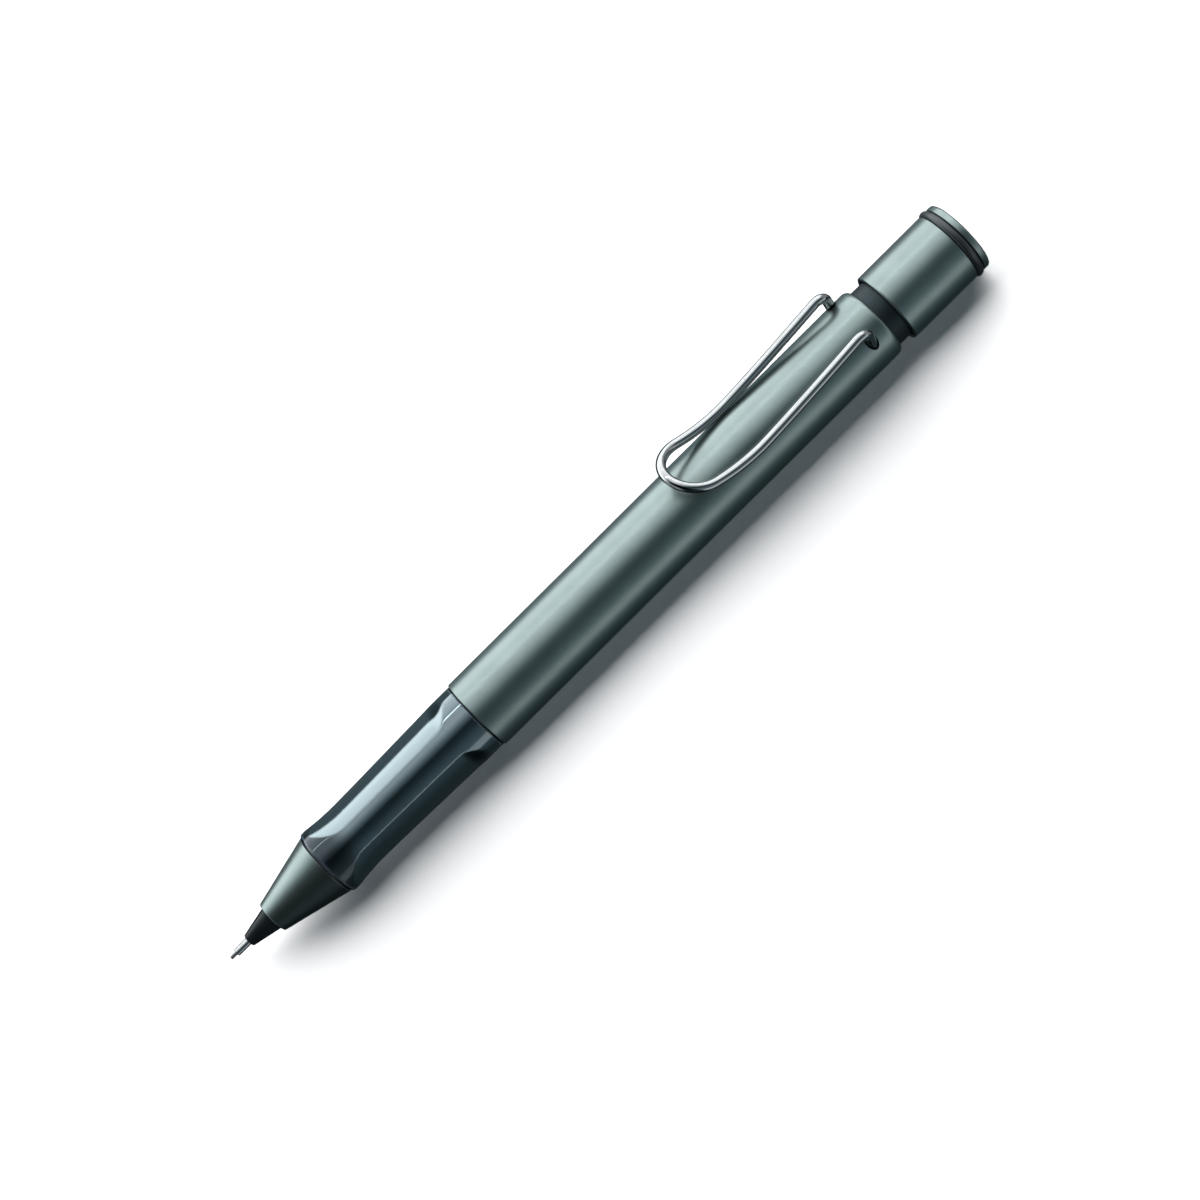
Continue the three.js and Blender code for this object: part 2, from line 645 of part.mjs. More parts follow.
// ---- cap: tube, liner, ring and end disc ----
function addCap() {
  const rim = 0.4;
  const lip = 1.15;
  const stem = RING_RADIUS - RING_DEPTH;
  const lipBore = stem + SEAT_GAP;
  add('push_cap', turned([
    [CAP_START, CAP_BORE],
    [CAP_START, BARREL_RADIUS - rim],
    [CAP_START + rim * 0.3, BARREL_RADIUS - rim * 0.3],
    [CAP_START + rim, BARREL_RADIUS],
    [CAP_END, BARREL_RADIUS],
    [CAP_END, lipBore],
    [CAP_END - lip, lipBore],
    [CAP_END - lip, CAP_BORE],
  ]), satinMetal);

  const linerStart = CAP_START + COLLAR_INSIDE_CAP + PUSH_TRAVEL + 0.3;
  const linerEnd = CAP_END - lip - END_GAP;
  const linerFloor = linerEnd - 0.4;
  const linerBore = HOLDER_RADIUS + SEAT_GAP + 0.05;
  add('cap_liner', turned([
    [linerFloor, 0],
    [linerFloor, linerBore],
    [linerStart, linerBore],
    [linerStart, CAP_BORE - SEAT_GAP],
    [linerEnd, CAP_BORE - SEAT_GAP],
    [linerEnd, 0],
  ], SMALL_ROUND), mattBlack);

  const ringRadius = RING_DEPTH / 2 - SEAT_GAP / 2;
  const ringCentre = (CAP_END + DISC_START) / 2;
  const halfWidth = RING_WIDTH / 2 - 0.03;
  const section = [];
  for (let step = 0; step < 12; step += 1) {
    const angle = (step / 12) * Math.PI * 2 + Math.PI;
    section.push([
      ringCentre + halfWidth * Math.cos(angle),
      RING_RADIUS - ringRadius - ringRadius * Math.sin(angle),
    ]);
  }
  add('o_ring', turned(section), rubber);

  const bevel = 0.35;
  add('end_disc', turned([
    [linerEnd + END_GAP, 0],
    [linerEnd + END_GAP, stem],
    [DISC_START, stem],
    [DISC_START, DISC_RADIUS - 0.15],
    [DISC_START + 0.15, DISC_RADIUS],
    [LENGTH - bevel, DISC_RADIUS],
    [LENGTH - bevel * 0.3, DISC_RADIUS - bevel * 0.3],
    [LENGTH, DISC_RADIUS - bevel],
    [LENGTH, 0],
  ]), satinMetal);
}

addPoint();
addNose();
addGrip();
addSleeve();
addHousing();
addClutchRing();
addChuck();
addSpring();
addMagazine();
addEraser();
addBarrel();
addCap();

// The pencil's line, laid on the table: X measured from mid-length, Z from the lowest facet.
const pencil = new THREE.Group();
line.position.set(-LENGTH / 2, 0, RING_RADIUS * Math.cos(Math.PI / ROUND));
pencil.add(line);

export default pencil;
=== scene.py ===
"""Looks of the push-button pencil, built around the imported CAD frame.

Lengths are in millimetres until a mesh is made. A piece is drawn in the row frame: x along the
pencil, and a radius about the pencil's axis. Stations and outside radii come from the CAD boxes.
"""
import math

import bmesh
import bpy
from mathutils import Matrix, Vector


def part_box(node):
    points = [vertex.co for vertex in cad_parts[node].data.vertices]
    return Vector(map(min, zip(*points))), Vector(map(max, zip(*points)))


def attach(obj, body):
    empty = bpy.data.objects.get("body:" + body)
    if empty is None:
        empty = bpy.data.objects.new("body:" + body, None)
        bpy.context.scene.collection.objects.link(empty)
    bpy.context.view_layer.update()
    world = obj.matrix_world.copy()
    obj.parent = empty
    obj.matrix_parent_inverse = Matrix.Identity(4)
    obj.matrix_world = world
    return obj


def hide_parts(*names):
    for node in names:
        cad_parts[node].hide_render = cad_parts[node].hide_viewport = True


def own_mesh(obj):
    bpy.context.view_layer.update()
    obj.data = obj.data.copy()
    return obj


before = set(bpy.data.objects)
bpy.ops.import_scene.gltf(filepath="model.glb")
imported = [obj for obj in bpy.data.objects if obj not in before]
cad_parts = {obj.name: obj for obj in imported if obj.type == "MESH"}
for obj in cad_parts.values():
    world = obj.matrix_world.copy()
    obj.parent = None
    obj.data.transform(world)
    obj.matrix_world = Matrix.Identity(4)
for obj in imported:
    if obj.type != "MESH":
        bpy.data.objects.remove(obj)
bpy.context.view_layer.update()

MM = 0.001
ROUND = 32  # sides of the large CAD pieces
SMALL_ROUND = 20  # sides of the small CAD pieces
LEAD_ROUND = 12  # sides of the CAD lead in use
THIN_ROUND = 8  # sides of the CAD spare leads and needle
SIDES = 160  # sides of a drawn piece
FINE_SIDES = 256  # sides of a large piece that is seen close up
SHARP = math.radians(32)  # an edge that turns more than this is shaded as an edge
SAME = 0.01  # two radii closer than this are the same


# ---------------------------------------------------------------- places from the frame
def ends(node):
    """Where a CAD node starts and stops along the pencil."""
    low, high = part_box(node)
    return low.x / MM, high.x / MM


def outer(node, sides=ROUND):
    """A turned CAD node's radius: its box is measured across the flats of its facets."""
    low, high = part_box(node)
    return (high.y - low.y) / 2 / MM / math.cos(math.pi / sides)


def axis_height():
    low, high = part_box("o_ring")
    return (low.z + high.z) / 2 / MM


AXIS = axis_height()
SEAT = 0.05  # gap between two fixed pieces
RUNNING = 0.1  # gap beside a piece that slides
LEAD_GAP = 0.02  # gap beside the lead


# ---------------------------------------------------------------- mesh tools
def shade(bm):
    """Smooth shading, with the sharp edges kept."""
    for face in bm.faces:
        face.smooth = True
    for edge in bm.edges:
        if len(edge.link_faces) == 2:
            edge.smooth = edge.calc_face_angle(0.0) < SHARP


def add_object(name, data):
    thing = bpy.data.objects.new(name, data)
    bpy.context.scene.collection.objects.link(thing)
    return thing


def add_mesh(name, bm):
    """An object in the scene made from a bmesh, which is used up."""
    mesh = bpy.data.meshes.new(name)
    bm.to_mesh(mesh)
    bm.free()
    return add_object(name, mesh)


def finish_mesh(name, bm, body, material, nodes):
    """Turns a bmesh in millimetres into a piece that rides on a body and stands for CAD nodes."""
    bm.normal_update()
    shade(bm)
    piece = add_mesh(name, bm)
    piece.data.transform(Matrix.Translation((0, 0, AXIS * MM)) @ Matrix.Scale(MM, 4))
    piece.data.materials.append(material)
    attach(piece, body)
    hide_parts(*nodes)
    return piece


def rounded(corners, closed=True):
    """An outline from corners (x, radius, fillet), with each fillet as an arc.

    A short step is kept beside every arc, so that the straight beside it stays straight when
    it is shaded smooth.
    """
    points = []
    count = len(corners)
    for index, corner in enumerate(corners):
        here = Vector(corner[:2])
        fillet = corner[2] if len(corner) > 2 else 0
        inside = closed or 0 < index < count - 1
        if not fillet or not inside:
            points.append((here.x, here.y))
            continue
        before = Vector(corners[index - 1][:2]) - here
        after = Vector(corners[(index + 1) % count][:2]) - here
        turn = before.angle(after)
        cut = fillet / math.tan(turn / 2)
        cut = min(cut, before.length * 0.48, after.length * 0.48)
        radius = cut * math.tan(turn / 2)
        start = here + before.normalized() * cut
        stop = here + after.normalized() * cut
        centre = here + (before.normalized() + after.normalized()).normalized() * (
            radius / math.sin(turn / 2)
        )
        steps = max(3, round((math.pi - turn) / math.radians(11)))
        support = min(0.12, before.length - cut, after.length - cut) * 0.5
        points.append(tuple(start + before.normalized() * support))
        first = start - centre
        sweep = first.angle_signed(stop - centre)
        for step in range(steps + 1):
            arm = first.copy()
            arm.rotate(Matrix.Rotation(-sweep * step / steps, 2))
            points.append(tuple(centre + arm))
        points.append(tuple(stop + after.normalized() * support))
    return points


def lathe(outline, sides=SIDES, closed=True, relief=None):
    """A turned solid. The outside of the outline runs towards +x and the bore runs back."""
    bm = bmesh.new()
    rings = []
    for x, radius in outline:
        if radius < 1e-6:
            rings.append([bm.verts.new((x, 0, 0))] * sides)
            continue
        ring = []
        for side in range(sides):
            angle = 2 * math.pi * side / sides
            reach = relief(x, radius, angle) if relief else radius
            ring.append(bm.verts.new((x, reach * math.cos(angle), reach * math.sin(angle))))
        rings.append(ring)
    pairs = list(zip(rings, rings[1:]))
    if closed:
        pairs.append((rings[-1], rings[0]))
    for first, second in pairs:
        for side in range(sides):
            after = (side + 1) % sides
            loop = [first[side], first[after], second[after], second[side]]
            corners = [v for n, v in enumerate(loop) if v not in loop[:n]]
            if len(corners) > 2:
                bm.faces.new(corners)
    return bm


def densify(outline, step, closed=True):
    """The same outline with no straight longer than step."""
    dense = []
    following = outline[1:] + (outline[:1] if closed else [])
    for here, there in zip(outline, following):
        span = math.dist(here, there)
        parts = max(1, math.ceil(span / step))
        for part in range(parts):
            share = part / parts
            dense.append(tuple(a + (b - a) * share for a, b in zip(here, there)))
    if not closed:
        dense.append(outline[-1])
    return dense


def refine_at(outline, radius, step):
    """A closed outline with short steps where it runs along one radius, ready for a thread."""
    dense = []
    for here, there in zip(outline, outline[1:] + outline[:1]):
        dense.append(here)
        if abs(here[1] - radius) < SAME and abs(there[1] - radius) < SAME:
            dense += densify([here, there], step, closed=False)[1:-1]
    return dense


def thread(start, stop, radius, depth, pitch):
    """A relief that cuts a fine screw thread into one stretch of a lathe."""

    def cut(x, reach, angle):
        if abs(reach - radius) > SAME or not start < x < stop:
            return reach
        phase = (x / pitch - angle / (2 * math.pi)) % 1
        groove = 1 - abs(2 * phase - 1)
        ends_fade = min(1, (x - start) / pitch, (stop - x) / pitch)
        return reach - depth * groove * ends_fade

    return cut


def frames_along(path):
    """A side and an up direction at each point of a path, turned as little as possible."""
    tangents = []
    for index in range(len(path)):
        low = path[max(index - 1, 0)]
        high = path[min(index + 1, len(path) - 1)]
        tangents.append((high - low).normalized())
    side = tangents[0].orthogonal().normalized()
    result = []
    for index, tangent in enumerate(tangents):
        if index:
            side = tangents[index - 1].rotation_difference(tangent) @ side
        side = (side - tangent * side.dot(tangent)).normalized()
        result.append((side, tangent.cross(side)))
    return tangents, result


def wire(path, radius, sides=28, end_round=0.35):
    """A round wire along a path, with its two ends eased over."""
    bm = bmesh.new()
    tangents, around = frames_along(path)
    stations = []
    steps = 4
    for step in range(steps):
        angle = math.pi / 2 * step / steps
        pull = end_round * (1 - math.sin(angle))
        size = radius - end_round * (1 - math.cos(math.pi / 2 - angle))
        stations.append((path[0] + tangents[0] * pull, around[0], size))
    stations += [(p, a, radius) for p, a in zip(path, around)][2:-2]
    for step in reversed(range(steps)):
        angle = math.pi / 2 * step / steps
        pull = end_round * (1 - math.sin(angle))
        size = radius - end_round * (1 - math.cos(math.pi / 2 - angle))
        stations.append((path[-1] - tangents[-1] * pull, around[-1], size))
    rings = []
    for centre, (side, up), size in stations:
        ring = []
        for index in range(sides):
            angle = 2 * math.pi * index / sides
            ring.append(bm.verts.new(centre + (side * math.cos(angle) + up * math.sin(angle)) * size))
        rings.append(ring)
    for first, second in zip(rings, rings[1:]):
        for index in range(sides):
            after = (index + 1) % sides
            bm.faces.new([first[index], first[after], second[after], second[index]])
    bm.faces.new(reversed(rings[0]))
    bm.faces.new(rings[-1])
    bmesh.ops.recalc_face_normals(bm, faces=bm.faces)
    return bm


def resample(points, step):
    """Points at even steps along a polyline."""
    result = [points[0]]
    carry = 0.0
    for low, high in zip(points, points[1:]):
        span = (high - low).length
        at = step - carry
        while at <= span:
            result.append(low.lerp(high, at / span))
            at += step
        carry = (carry + span) % step
    result.append(points[-1])
    return result


def drilled(piece, x, y, low, high, radius):
    """Cuts a round hole, along z, into a finished piece, and keeps its edge sharp."""
    bm = bmesh.new()
    bmesh.ops.create_cone(
        bm, cap_ends=True, segments=72, radius1=radius * MM, radius2=radius * MM,
        depth=(high - low) * MM,
    )
    bmesh.ops.translate(bm, verts=bm.verts, vec=(x * MM, y * MM, (AXIS + (low + high) / 2) * MM))
    drill = add_mesh("drill", bm)
    cut = piece.modifiers.new("hole", "BOOLEAN")
    cut.operation = "DIFFERENCE"
    cut.solver = "EXACT"
    cut.object = drill
    bpy.context.view_layer.update()
    graph = bpy.context.evaluated_depsgraph_get()
    result = bpy.data.meshes.new_from_object(piece.evaluated_get(graph))
    piece.modifiers.remove(cut)
    bpy.data.objects.remove(drill)
    bm = bmesh.new()
    bm.from_mesh(result)
    shade(bm)
    bm.to_mesh(result)
    bm.free()
    piece.data = result
    return piece


# ---------------------------------------------------------------- materials
def new_material(name, **values):
    """A Principled material with constants set on its own sockets, its node tree and its shader."""
    material = bpy.data.materials.new(name)
    material.use_nodes = True
    shader = material.node_tree.nodes["Principled BSDF"]
    for socket, value in values.items():
        shader.inputs[socket.replace("_", " ")].default_value = value
    return material, material.node_tree, shader


def noise(tree, scale, detail=2.0, rough=0.5, stretch=(1, 1, 1)):
    """Noise in the row frame's own metres, stretched per axis. Returns its value output."""
    place = tree.nodes.new("ShaderNodeTexCoord")
    shape = tree.nodes.new("ShaderNodeMapping")
    shape.inputs["Scale"].default_value = stretch
    texture = tree.nodes.new("ShaderNodeTexNoise")
    texture.inputs["Scale"].default_value = scale
    texture.inputs["Detail"].default_value = detail
    texture.inputs["Roughness"].default_value = rough
    tree.links.new(place.outputs["Object"], shape.inputs["Vector"])
    tree.links.new(shape.outputs["Vector"], texture.inputs["Vector"])
    return texture.outputs["Fac"]


def spread(tree, value, low, high):
    """Maps noise, which mostly lies between 0.3 and 0.7, to a range."""
    ramp = tree.nodes.new("ShaderNodeMapRange")
    ramp.inputs["From Min"].default_value = 0.3
    ramp.inputs["From Max"].default_value = 0.7
    ramp.inputs["To Min"].default_value = low
    ramp.inputs["To Max"].default_value = high
    tree.links.new(value, ramp.inputs["Value"])
    return ramp.outputs["Result"]


def tint(tree, shader, value, low, high, socket="Base Color", span=(0.35, 0.65)):
    """A colour that wanders between two colours as the value goes over a span."""
    mix = tree.nodes.new("ShaderNodeValToRGB")
    for stop, place, colour in zip(mix.color_ramp.elements, span, (low, high)):
        stop.position = place
        stop.color = (*colour, 1)
    tree.links.new(value, mix.inputs["Fac"])
    tree.links.new(mix.outputs["Color"], shader.inputs[socket])


def bump(tree, shader, value, height_mm, strength):
    """A fine relief in the surface."""
    node = tree.nodes.new("ShaderNodeBump")
    node.inputs["Strength"].default_value = strength
    node.inputs["Distance"].default_value = height_mm * MM
    tree.links.new(value, node.inputs["Height"])
    tree.links.new(node.outputs["Normal"], shader.inputs["Normal"])


def satin_metal():
    """Blasted and anodised aluminium: an even graphite tone with a very fine grain."""
    material, tree, shader = new_material("satin_metal", Metallic=1.0)
    grain = noise(tree, 9000, detail=3)
    cloud = noise(tree, 260, detail=2)
    tint(tree, shader, cloud, (0.148, 0.186, 0.184), (0.160, 0.200, 0.198))
    tree.links.new(spread(tree, grain, 0.31, 0.40), shader.inputs["Roughness"])
    bump(tree, shader, grain, 0.004, 0.35)
    return material


def chrome():
    """Polished wire with the faint lengthwise lines of drawing."""
    material, tree, shader = new_material("chrome", Metallic=1.0)
    lines = noise(tree, 3000, detail=2, stretch=(0.05, 1, 1))
    tint(tree, shader, lines, (0.25, 0.262, 0.268), (0.28, 0.292, 0.298))
    tree.links.new(spread(tree, lines, 0.04, 0.09), shader.inputs["Roughness"])
    bump(tree, shader, lines, 0.0015, 0.4)
    return material


def smoke_plastic():
    """Clear smoke-grey moulding, polished, with a slight waviness from the mould.

    The mesh carries a painted highlight mask and a painted shade mask. The highlight mask brightens
    the reflection's tint on the finger flats and dims it elsewhere. The shade mask makes the rounded
    end rims dark.
    """
    material, tree, shader = new_material("smoke_plastic", IOR=2.4)
    painted_highlight = tree.nodes.new("ShaderNodeAttribute")
    painted_highlight.attribute_name = "painted_highlight"
    edge = tree.nodes.new("ShaderNodeAttribute")
    edge.attribute_name = "edge"
    # painted shade at the end rims: the edge mask turns them near black and, below, shuts off their
    # transmission
    tint(tree, shader, edge.outputs["Fac"], (0.26, 0.36, 0.46), (0.01, 0.013, 0.016))
    # painted highlight: the reflection is tinted bright where the mask is full and dim where it is
    # empty
    tint(tree, shader, painted_highlight.outputs["Fac"], (0.16, 0.20, 0.22), (0.72, 0.93, 1.0),
         "Specular Tint", (0.0, 1.0))
    clear = tree.nodes.new("ShaderNodeMapRange")
    clear.inputs["To Min"].default_value = 1.0
    clear.inputs["To Max"].default_value = 0.0
    tree.links.new(edge.outputs["Fac"], clear.inputs["Value"])
    tree.links.new(clear.outputs["Result"], shader.inputs["Transmission Weight"])
    wave = noise(tree, 420, detail=1, stretch=(0.4, 1, 1))
    tree.links.new(spread(tree, wave, 0.03, 0.055), shader.inputs["Roughness"])
    bump(tree, shader, wave, 0.003, 0.25)
    return material


def plain_plastic(name, low, high, rough, grain_scale, height, shine=0.5, sheen=(0.85, 0.98, 1, 1)):
    """Moulded plastic: a colour between low and high, and a grain with its height in millimetres."""
    material, tree, shader = new_material(name, Specular_IOR_Level=shine, Specular_Tint=sheen)
    grain = noise(tree, grain_scale, detail=3)
    cloud = noise(tree, 300)
    tint(tree, shader, cloud, low, high)
    tree.links.new(spread(tree, grain, *rough), shader.inputs["Roughness"])
    bump(tree, shader, grain, height, 0.5)
    return material


def turned_metal(name, low, high, rough):
    """Metal with the fine rings that a lathe or a drawing die leaves."""
    material, tree, shader = new_material(name, Metallic=1.0)
    rings = noise(tree, 5000, detail=2, stretch=(1, 0.04, 0.04))
    tint(tree, shader, rings, low, high)
    tree.links.new(spread(tree, rings, *rough), shader.inputs["Roughness"])
    bump(tree, shader, rings, 0.003, 0.4)
    return material


MATERIALS = {
    "satin_metal": satin_metal(),
    "chrome": chrome(),
    "smoke_plastic": smoke_plastic(),
    "gloss_black": plain_plastic(
        "gloss_black", (0.006, 0.008, 0.010), (0.009, 0.011, 0.013), (0.10, 0.16), 2500, 0.001, 0.12
    ),
    "matt_black": plain_plastic(
        "matt_black", (0.003, 0.004, 0.005), (0.005, 0.006, 0.007), (0.41, 0.54), 7000, 0.006, 0.3,
        (0.62, 0.90, 1.0, 1)
    ),
    "rubber": plain_plastic(
        "rubber", (0.008, 0.009, 0.011), (0.012, 0.013, 0.015), (0.34, 0.48), 4000, 0.006
    ),
    "steel": turned_metal("steel", (0.25, 0.26, 0.265), (0.30, 0.31, 0.315), (0.08, 0.14)),
    "brass": turned_metal("brass", (0.60, 0.42, 0.15), (0.70, 0.51, 0.22), (0.20, 0.34)),
    "graphite": plain_plastic(
        "graphite", (0.040, 0.042, 0.045), (0.065, 0.068, 0.072), (0.30, 0.48), 9000, 0.006
    ),
    "eraser_white": plain_plastic(
        "eraser_white", (0.78, 0.77, 0.73), (0.84, 0.83, 0.80), (0.75, 0.92), 3500, 0.02
    ),
}


def piece(name, bm, body, slot, nodes=None):
    """A finished piece. By default it stands for the CAD node that has its name."""
    return finish_mesh(name, bm, body, MATERIALS[slot], nodes or [name.removesuffix("_skin")])


# ---------------------------------------------------------------- point of the pencil
def make_lead(name, body):
    start, stop = ends(name)
    radius = outer(name, LEAD_ROUND if name == "lead" else THIN_ROUND)
    chamfer = 0.06
    bm = lathe(rounded([
        (start, 0), (start, radius, chamfer), (stop, radius, chamfer), (stop, 0),
    ], closed=False), sides=40, closed=False)
    low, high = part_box(name)
    offset = Vector((0, (low.y + high.y) / 2 / MM, (low.z + high.z) / 2 / MM - AXIS))
    bmesh.ops.translate(bm, verts=bm.verts, vec=offset)
    return piece(name + "_skin", bm, body, "graphite")


PIPE_EXTRA = 0.06  # the drawn pipe's radius over the CAD pipe's


def make_lead_pipe():
    start, stop = ends("lead_pipe")
    radius = outer("lead_pipe", SMALL_ROUND) + PIPE_EXTRA
    bore = outer("lead", LEAD_ROUND) + 2 * LEAD_GAP
    bm = lathe(rounded([
        (start, bore, 0.05), (start, radius, 0.1), (stop, radius, 0.05), (stop, bore, 0.05),
    ]), sides=72)
    return piece("lead_pipe_skin", bm, "holder", "steel")


def make_retainer():
    start, stop = ends("lead_retainer")
    radius = outer("lead_retainer", SMALL_ROUND)
    bore = outer("lead", LEAD_ROUND) + LEAD_GAP
    bm = lathe(rounded([
        (start, bore + 0.25, 0.1), (start, radius, 0.2), (stop, radius, 0.2),
        (stop, bore + 0.25, 0.1), ((start + stop) / 2, bore, 0.3),
    ]), sides=72)
    return piece("lead_retainer_skin", bm, "holder", "rubber")


TIP_FRONT_RADIUS = 0.95
TIP_REAR_RADIUS = 1.9
TIP_FLANGE = 1.0
TIP_FLANGE_AFTER = 1.1  # from the nose's front to the tip's flange
# each thread's depth and pitch, and the plain lengths beside the front two threads
TIP_THREAD = (0.14, 0.5)
NOSE_THREAD = (0.16, 0.6)
SLEEVE_THREAD = (0.18, 0.75)
THREAD_RELIEF = 0.9
THREAD_RUN_OUT = 0.4


def make_tip():
    start, stop = ends("tip_cone")
    nose_start = ends("nose_cone")[0]
    flange = outer("tip_cone")
    pipe = outer("lead_pipe", SMALL_ROUND) + PIPE_EXTRA + SEAT / 2
    retainer_start, retainer_stop = ends("lead_retainer")
    pocket = outer("lead_retainer", SMALL_ROUND) + SEAT
    spigot, mouth = 1.95, 1.65
    flange_start = nose_start + TIP_FLANGE_AFTER
    thread_start = flange_start + TIP_FLANGE + THREAD_RELIEF
    outline = rounded([
        (start, pipe, 0.04),
        (start, TIP_FRONT_RADIUS, 0.28),
        (nose_start, TIP_REAR_RADIUS),
        (flange_start, TIP_REAR_RADIUS, 0.05),
        (flange_start, flange, 0.1),
        (flange_start + TIP_FLANGE, flange, 0.1),
        (flange_start + TIP_FLANGE, spigot, 0.05),
        (stop, spigot, 0.12),
        (stop, mouth, 0.08),
        (retainer_stop + 0.4, mouth, 0.05),
        (retainer_stop + 0.2, pocket),
        (retainer_start - 0.05, pocket),
        (retainer_start - 0.05, pipe),
    ])
    outline = refine_at(outline, spigot, 0.07)
    cut = thread(thread_start, stop - THREAD_RUN_OUT, spigot, *TIP_THREAD)
    bm = lathe(outline, sides=SIDES, relief=cut)
    return piece("tip_cone_skin", bm, "holder", "gloss_black")


# ---------------------------------------------------------------- nose, grip and sleeve
HOUSING_CONE_AFTER = 3.5
NOSE_FRONT_RADIUS = 2.47
NOSE_BORE = 2.45


def make_nose():
    start, stop = ends("nose_cone")
    shoulder = ends("grip_section")[0] - 0.1
    rear = outer("nose_cone")
    housing_start = ends("mechanism_housing")[0]
    housing = outer("mechanism_housing", SMALL_ROUND)
    sleeve_bore = housing + RUNNING
    spigot = (sleeve_bore + outer_sleeve_radius()) / 2
    tip = TIP_REAR_RADIUS + SEAT
    lip = start + TIP_FLANGE_AFTER - 0.15
    cone = housing_start + HOUSING_CONE_AFTER
    outline = rounded([
        (start, tip, 0.05),
        (start, NOSE_FRONT_RADIUS, 0.16),
        (shoulder, rear, 0.07),
        (shoulder, spigot, 0.05),
        (stop, spigot, 0.12),
        (stop, sleeve_bore, 0.06),
        (cone + 1.2, sleeve_bore, 0.1),
        (cone, NOSE_BORE, 0.1),
        (lip, NOSE_BORE, 0.05),
        (lip, tip, 0.05),
    ])
    outline = refine_at(outline, spigot, 0.08)
    cut = thread(shoulder + THREAD_RELIEF, stop - THREAD_RUN_OUT, spigot, *NOSE_THREAD)
    bm = lathe(outline, sides=FINE_SIDES, relief=cut)
    return piece("nose_cone_skin", bm, "holder", "satin_metal")


GRIP_WAIST_INSET = 0.67
GRIP_WALL = 0.65
GRIP_GAP = 0.02  # from the grip's rear edge to the barrel
GRIP_BITE = 0.02  # how far the grip's bore reaches into the sleeve
# how far along the grip, and how far inside the barrel's radius its outline is there
GRIP_INSETS = [
    (0.8, 0.335), (2.2, 0.465), (3.5, 0.575), (5.5, 0.62), (8.9, 0.585),
    (14.4, 0.465), (19.8, 0.34), (25.2, 0.235),
]
FLAT_DEPTH = 0.61
FLAT_CURVE = 12  # each finger flat is a little round across, with this radius
FLAT_RIDGE = math.radians(32)
FLAT_HALF_ANGLE = math.radians(60)
GRIP_BALL = (2.6, 6.5)  # the plain front of the grip, out to where the ridge begins
GRIP_PAINTED_HIGHLIGHT = 0.68  # how much painted highlight the ridge gets beside the flats
FLAT_FRONT = (0.6, 5.3)  # where the flats run out at the front, along the grip
FLAT_REAR = (27.0, 23.4)
FLAT_EASE = 0.025  # how soft the flats' outline is
FRONT_ROUND, REAR_ROUND = 0.45, 0.25
ROUND_STEPS = 6


def smooth_through(knots, x):
    """A curve through knots that doesn't overshoot between them."""
    if x <= knots[0][0]:
        return knots[0][1]
    if x >= knots[-1][0]:
        return knots[-1][1]
    index = max(i for i in range(len(knots) - 1) if knots[i][0] <= x)
    slopes = []
    for i in (index, index + 1):
        if 0 < i < len(knots) - 1:
            left = (knots[i][1] - knots[i - 1][1]) / (knots[i][0] - knots[i - 1][0])
            right = (knots[i + 1][1] - knots[i][1]) / (knots[i + 1][0] - knots[i][0])
            slopes.append(2 * left * right / (left + right) if left * right > 0 else 0)
        else:
            slopes.append(0)
    (x0, y0), (x1, y1) = knots[index], knots[index + 1]
    width = x1 - x0
    t = (x - x0) / width
    return (
        y0 * (1 + 2 * t) * (1 - t) ** 2 + slopes[0] * width * t * (1 - t) ** 2
        + y1 * t * t * (3 - 2 * t) + slopes[1] * width * t * t * (t - 1)
    )


def outer_sleeve_radius():
    """The radius of the sleeve inside the grip."""
    return outer("barrel") - GRIP_WAIST_INSET - GRIP_WALL - SEAT


def ease(first, last, x):
    """0 before first and 1 past last, with a smooth step between. They may be in either order."""
    share = max(0.0, min(1.0, (x - first) / (last - first)))
    return share * share * (3 - 2 * share)


def flat_depth(along):
    """How deep the finger flats are cut into the grip."""
    return FLAT_DEPTH * ease(*FLAT_FRONT, along) * ease(*FLAT_REAR, along)


